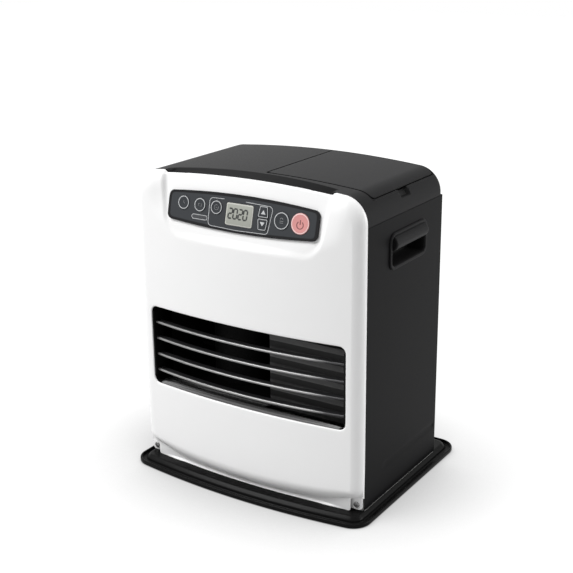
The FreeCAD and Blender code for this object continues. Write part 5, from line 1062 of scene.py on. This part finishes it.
def build_keys():
    """Control keys: dished round keys and tapered arrow keys, each with a pale outline and a small mark."""
    marks = {
        "timer": [([(0, 2.6), (0, 0), (1.8, -1.2)], 0.5), (arc((0, 0), 4.2, 20, 340, 30), 0.4)],
        "save": [([(-2.4, -1.6), (-2.4, 1.6), (0.2, 1.6)], 0.5),
                 ([(0.2, -1.6), (2.6, -1.6), (2.6, 1.6)], 0.5)],
        "set": [(arc((0, 0), 3.2, 60, 390, 26), 0.5), ([(-1.2, 0), (1.2, 0)], 0.5)],
        "lock": [(arc((0, 1.6), 1.9, 0, 180, 16), 0.6), ([(-2.6, -0.4), (2.6, -0.4)], 0.6),
                 ([(-2.6, -2.6), (2.6, -2.6)], 0.6)],
    }
    for name, (x, v, radius) in ROUND_KEYS.items():
        skin = Skin()
        round_key(skin, (x, v), radius)
        for line, width in marks[name]:
            stroke(skin, np.asarray(line, float) + (x, v), width, KEY_TOP - 0.3)
        make(f"{name}_key", skin, ["dark_key", "print", "faint_print"], body=f"{name}_button",
             replaces=[f"{name}_button"])

    skin = Skin()
    round_key(skin, (POWER_X, 0.0), POWER_RADIUS)
    stroke(skin, arc((POWER_X, -1.8), 4.6, 125, 415, 40), 1.3, KEY_TOP - 0.28)
    stroke(skin, [(POWER_X, -1.2), (POWER_X, 4.6)], 1.3, KEY_TOP - 0.3)
    make("power_key", skin, ["power_key", "power_ring", "power_mark"], body="power_button",
         replaces=["power_button"])

    shape = np.array([(-8, 0.6), (8, 0.6), (6, 15.1), (-6, 15.1)])
    mark = np.array([(-3.6, 4.8), (3.6, 4.8), (0, 10.0)])
    for name, way in (("up", 1), ("down", -1)):
        outline, arrow = ((points * (1, way) + (ARROW_X, ARROW_RISE))[::way] for points in (shape, mark))
        outline = rounded_polygon(outline, (2.0,) * 4)
        skin = slab(Skin(), outline, KEY_FOOT, KEY_TOP, 0.5, on_controls)
        inner = outline - sideways(outline, True) * 0.9
        ribbon(skin, inner, 0.75, KEY_TOP - 0.05, KEY_TOP + 0.05, True, 1)
        arrow = rounded_polygon(arrow, (0.3,) * 3, 3)
        slab(skin, arrow, KEY_TOP - 0.05, KEY_TOP + 0.07, 0.02, on_controls, 1)
        make(f"{name}_key", skin, ["dark_key", "print"], body=f"{name}_button", replaces=[f"{name}_button"])


def build_display(thick):
    """Display: a bevelled frame round a glossy face, and seven-segment figures as thin leaning plates."""
    left, right, low, high, rim = -22.3, 18.3, -15.2, 12.7, 1.5
    skin = Skin()
    slab(skin, rounded_rectangle(left, right, low, high, 2.3), -1.0, 2.3, 0.3, on_controls, 1)
    face = rounded_rectangle(left + rim, right - rim, low + rim, high - rim, 1.0)
    slab(skin, face, 2.0, 2.42, 0.05, on_controls, 0)
    width, tall, foot, lean, gap = 5.5, 12.4, -6.6, 0.07, 0.1
    segments = {"a": ((0, 2), (1, 2)), "b": ((1, 2), (1, 1)), "c": ((1, 1), (1, 0)), "d": ((0, 0), (1, 0)),
                "e": ((0, 1), (0, 0)), "f": ((0, 2), (0, 1)), "g": ((0, 1), (1, 1))}
    figures = {"2": "abged", "0": "abcdef"}
    for number, x in zip("2020", (-18.6, -11.2, -3.4, 4.0)):
        for name in figures[number]:
            start, end = np.array(segments[name]) * (width, tall / 2) + (x, foot)
            along = (end - start) / np.linalg.norm(end - start)
            tip, aside = along * thick / 2, np.array([along[1], -along[0]]) * thick / 2
            start, end = start + along * gap, end - along * gap
            bar = np.array([start, start + tip + aside, end - tip + aside, end, end - tip - aside,
                            start + tip - aside])
            bar[:, 0] += lean * (bar[:, 1] - foot)
            slab(skin, bar, 2.4, 2.48, 0.01, on_controls, 2)
    make("display_face", skin, ["lcd_cell", "bezel", "segment"], replaces=["display_window"])


def build_print(width):
    """Thin pale lines printed on the film round the display's group and the indicator, and its lens."""
    skin = Skin()
    low_print, high_print = FASCIA_FACE - 0.05, FASCIA_FACE + 0.06
    left, right, low, high, r = -49.0, 46.5, -19.6, 15.8, 5.0
    path = np.concatenate([[(-27.0, high + 0.4)], arc((left + r, high - r), r, 90, 180, 10),
                           arc((left + r + 0.6, low + r), r, 180, 270, 10), [(-5.0, low - 1.2)],
                           arc((right - r - 3.4, low + r), r, 270, 360, 10),
                           arc((right - r, high - r - 0.8), r, 0, 90, 10), [(6.0, high + 0.4)]])
    ribbon(skin, resample(path, 160), width, low_print, high_print, False)

    def pill(half, radius, steps):
        return rounded_rectangle(PILL_X - half, PILL_X + half, PILL_RISE - PILL_HIGH, PILL_RISE + PILL_HIGH,
                                 radius, steps)

    ribbon(skin, pill(12.1, 2.75, 12), width, low_print, high_print, True)
    make("film_print", skin, ["print"], "dark_fascia")
    lens = slab(Skin(), pill(12.3, 2.7, 10), -0.6, 2.15, 0.3, on_controls)
    make("indicator_bar", lens, ["lens"], replaces=["indicator_lens"])


# Stage

def build_floor(stage):
    """Floor: pale where it throws light back at the heater; to the camera, a glow shaded near the heater."""
    floor = bpy.data.meshes.new("floor")
    half, below = stage.floor_size / 2, 0.0004
    floor.from_pydata([(x, y, 0.0) for x, y in corners(-half, half, -half, half)], [], [(0, 1, 2, 3)])
    far_glow, near, far = 1.05, 0.3, 2.0
    pale, dark = 0.6, 0.06
    ground = Finish("pale floor")
    seen = ground.seen()
    away = ground.node("ShaderNodeVectorMath", {0: ground.place}, operation="LENGTH").outputs["Value"]
    glow = ground.span(away, stage.floor_glow, far_glow, near, far)
    shade = ground.node("ShaderNodeAmbientOcclusion", {"Distance": stage.shade_reach}).outputs["AO"]
    lit, shown = (ground.mix(ground.noise(3.0), [low] * 3, [low + 0.04] * 3) for low in (pale, dark))
    ground.set(base_color=ground.mix(seen, lit, shown), roughness=0.9, specular_ior_level=0.1,
               emission_color=(1, 1, 1, 1),
               emission_strength=ground.math("MULTIPLY", seen, ground.math("MULTIPLY", shade, glow)))
    floor.materials.append(ground.material)
    ground_piece = bpy.data.objects.new("floor", floor)
    ground_piece.location.z = -below
    bpy.context.scene.collection.objects.link(ground_piece)


def build_lights(stage):
    """Soft area lamps, and a world that is white to the camera and dimmer as a light."""
    scene = bpy.context.scene
    scene.world = bpy.data.worlds.new("studio")
    scene.world.use_nodes = True
    sky = Nodes(scene.world.node_tree)
    back = sky.tree.nodes["Background"]
    sky.feed(back.inputs["Color"], (1, 1, 1, 1))
    sky.feed(back.inputs["Strength"], sky.span(sky.seen(), stage.world_light, 1.0))
    # Columns: name, place, aim, size, power
    lamps = (("overhead softbox", (0.1, 0.35, 2.3), (0.0, 0.0, 0.3), 1.8, stage.top_power),
             ("front softbox", (-1.35, -1.45, 2.5), (0.0, 0.0, 0.2), 1.5, stage.front_power),
             ("right softbox", (2.1, 1.0, 0.9), (0.1, 0.0, 0.2), 1.2, stage.side_power))
    for name, place, aim, size, power in lamps:
        light = bpy.data.lights.new(name, "AREA")
        light.size = size
        light.energy = power
        lamp = bpy.data.objects.new(name, light)
        lamp.location = place
        lamp.rotation_euler = (Vector(aim) - Vector(place)).to_track_quat("-Z", "Y").to_euler()
        scene.collection.objects.link(lamp)


def build_camera(stage):
    """Camera at the photo's angle: it backs off from its aim along azimuth and elevation, then rolls."""
    camera = bpy.data.cameras.new("photo camera")
    camera.lens = stage.lens
    camera.sensor_width = 36.0
    azimuth, elevation, roll = (math.radians(angle) for angle in CAMERA_TURN)
    back_way = Vector((math.sin(azimuth) * math.cos(elevation), -math.cos(azimuth) * math.cos(elevation),
                       math.sin(elevation)))
    right = Vector((math.cos(azimuth), math.sin(azimuth), 0.0))
    up = back_way.cross(right)
    turned_right = right * math.cos(roll) + up * math.sin(roll)
    turned_up = up * math.cos(roll) - right * math.sin(roll)
    viewer = bpy.data.objects.new("photo camera", camera)
    spot = Vector(CAMERA_AIM) + back_way * stage.camera_distance
    turn = Matrix((turned_right, turned_up, back_way)).transposed()
    viewer.matrix_world = Matrix.Translation(spot) @ turn.to_4x4()
    bpy.context.scene.collection.objects.link(viewer)
    bpy.context.scene.camera = viewer


# Settings, operators and panel

def tone_setting(name, description, default):
    """Property for a colour."""
    return FloatVectorProperty(name=name, description=description, default=default, size=3, min=0.0, max=1.0,
                               subtype="COLOR")


def size_setting(name, description, default):
    """Property for a size given in millimetres."""
    return FloatProperty(name=name, description=description, default=default * MM, min=0.0, precision=5,
                         subtype="DISTANCE", unit="LENGTH")


def stage_setting(name, description, default, unit="NONE"):
    """Property for a number of the stage."""
    return FloatProperty(name=name, description=description, default=default, unit=unit)


class HeaterLooks(PropertyGroup):
    white: tone_setting("White", "Front panel's paint", (0.88, 0.88, 0.88))
    black_paint: tone_setting("Black paint", "Steel sides and rear", (0.006, 0.006, 0.0064))
    black_moulding: tone_setting("Black moulding", "Top cover, lid and hand-holds", (0.0115, 0.0115, 0.012))
    tray: tone_setting("Tray", "Floor tray", (0.006, 0.006, 0.006))
    fascia: tone_setting("Fascia", "Film of the control panel", (0.036, 0.039, 0.043))
    key: tone_setting("Keys", "Round and arrow keys", (0.031, 0.034, 0.038))
    power_key: tone_setting("Power key", "Key that switches the heater on", (0.63, 0.27, 0.26))
    print_tone: tone_setting("Print", "Lines printed on the film and keys", (0.5, 0.51, 0.52))
    display: tone_setting("Display", "Ground of the display", (0.34, 0.35, 0.31))
    # Painted highlight: light grey along the louvres' black front edge.
    louvre_nose: tone_setting("Louvre nose", "Front edge of the louvres", (0.24, 0.24, 0.24))
    outlet: tone_setting("Outlet", "Plates behind the louvres", (0.12, 0.12, 0.12))


class HeaterSizes(PropertyGroup):
    shell_wall: size_setting("Shell wall", "Thickness of the white front shell", 1.6)
    cover_wall: size_setting("Cover wall", "Thickness of the top cover", 1.8)
    lid_wall: size_setting("Lid wall", "Thickness of the tank lid", 2.0)
    louvre_nose: size_setting("Louvre nose", "Radius of the louvres' front edge", 1.7)
    print_width: size_setting("Print width", "Width of the lines printed on the film", 0.7)
    segment_width: size_setting("Segment width", "Width of a bar of the display's figures", 2.1)
    screw_radius: size_setting("Screw head", "Radius of a screw's head", 4.0)


class HeaterStage(PropertyGroup):
    floor_size: stage_setting("Floor", "Width of the floor", 14.0, "LENGTH")
    floor_glow: stage_setting("Floor glow", "Light of the floor to the camera", 1.0)
    shade_reach: stage_setting("Shade", "Reach of the floor's shade", 0.18, "LENGTH")
    world_light: stage_setting("World", "Light from all round", 0.22)
    top_power: stage_setting("Overhead", "Power of the overhead lamp", 4.0, "POWER")
    front_power: stage_setting("Front", "Power of the front lamp", 97.0, "POWER")
    side_power: stage_setting("Side", "Power of the lamp on the right", 36.0, "POWER")
    lens: stage_setting("Lens", "Focal length of the camera", 70.73, "CAMERA")
    camera_distance: stage_setting("Distance", "Camera from its aim", 1.442, "LENGTH")


class HEATER_OT_finishes(Operator):
    """Make the finishes and put them on the CAD nodes that show"""
    bl_idname = "heater.finishes"
    bl_label = "Finishes"

    def execute(self, context):
        make_finishes(context.scene.heater_looks)
        dress_cad_nodes()
        return {"FINISHED"}


class HEATER_OT_tray(Operator):
    """Build the floor tray"""
    bl_idname = "heater.tray"
    bl_label = "Floor tray"

    def execute(self, context):
        build_tray()
        return {"FINISHED"}


class HEATER_OT_front(Operator):
    """Build the white front panel and its screw tabs"""
    bl_idname = "heater.front"
    bl_label = "Front panel"

    def execute(self, context):
        build_front_panel(context.scene.heater_sizes.shell_wall / MM)
        build_screw_tabs()
        return {"FINISHED"}


class HEATER_OT_screws(Operator):
    """Build the screws at the front and back"""
    bl_idname = "heater.screws"
    bl_label = "Screws"

    def execute(self, context):
        build_screws(context.scene.heater_sizes.screw_radius / MM)
        return {"FINISHED"}


class HEATER_OT_sides(Operator):
    """Build the steel sides"""
    bl_idname = "heater.sides"
    bl_label = "Sides"

    def execute(self, context):
        build_side_panels()
        return {"FINISHED"}


class HEATER_OT_handles(Operator):
    """Build the hand-holds"""
    bl_idname = "heater.handles"
    bl_label = "Hand-holds"

    def execute(self, context):
        build_handles()
        return {"FINISHED"}


class HEATER_OT_top(Operator):
    """Build the top cover and the tank lid"""
    bl_idname = "heater.top"
    bl_label = "Top cover and lid"

    def execute(self, context):
        build_top_cover(context.scene.heater_sizes.cover_wall / MM)
        build_lid(context.scene.heater_sizes.lid_wall / MM)
        return {"FINISHED"}


class HEATER_OT_grille(Operator):
    """Build the louvres and the outlet behind them"""
    bl_idname = "heater.grille"
    bl_label = "Grille"

    def execute(self, context):
        build_louvres(context.scene.heater_sizes.louvre_nose / MM)
        build_outlet()
        return {"FINISHED"}


class HEATER_OT_controls(Operator):
    """Build the keys, the display and the print of the control panel"""
    bl_idname = "heater.controls"
    bl_label = "Control panel"

    def execute(self, context):
        build_keys()
        build_display(context.scene.heater_sizes.segment_width / MM)
        build_print(context.scene.heater_sizes.print_width / MM)
        return {"FINISHED"}


class HEATER_OT_stage(Operator):
    """Build the floor, the lamps and the camera"""
    bl_idname = "heater.stage"
    bl_label = "Stage"

    def execute(self, context):
        context.scene.view_settings.view_transform = "Standard"
        stage = context.scene.heater_stage
        build_floor(stage)
        build_lights(stage)
        build_camera(stage)
        return {"FINISHED"}


OPERATORS = (HEATER_OT_finishes, HEATER_OT_tray, HEATER_OT_front, HEATER_OT_screws, HEATER_OT_sides,
             HEATER_OT_handles, HEATER_OT_top, HEATER_OT_grille, HEATER_OT_controls, HEATER_OT_stage)


class HEATER_PT_panel(Panel):
    """Lists the pieces and their settings"""
    bl_idname = "HEATER_PT_panel"
    bl_label = "Paraffin heater"
    bl_space_type = "VIEW_3D"
    bl_region_type = "UI"
    bl_category = "Heater"

    def draw(self, context):
        for operator in OPERATORS:
            self.layout.operator(operator.bl_idname)
        for settings in (context.scene.heater_looks, context.scene.heater_sizes, context.scene.heater_stage):
            for name in settings.__annotations__:
                self.layout.prop(settings, name)


CLASSES = (HeaterLooks, HeaterSizes, HeaterStage, *OPERATORS, HEATER_PT_panel)


def register():
    for item in CLASSES:
        bpy.utils.register_class(item)
    bpy.types.Scene.heater_looks = PointerProperty(type=HeaterLooks)
    bpy.types.Scene.heater_sizes = PointerProperty(type=HeaterSizes)
    bpy.types.Scene.heater_stage = PointerProperty(type=HeaterStage)


def unregister():
    del bpy.types.Scene.heater_stage
    del bpy.types.Scene.heater_sizes
    del bpy.types.Scene.heater_looks
    for item in reversed(CLASSES):
        bpy.utils.unregister_class(item)


def main():
    register()
    for operator in OPERATORS:
        group, name = operator.bl_idname.split(".")
        getattr(getattr(bpy.ops, group), name)()


if __name__ == "__main__":
    main()
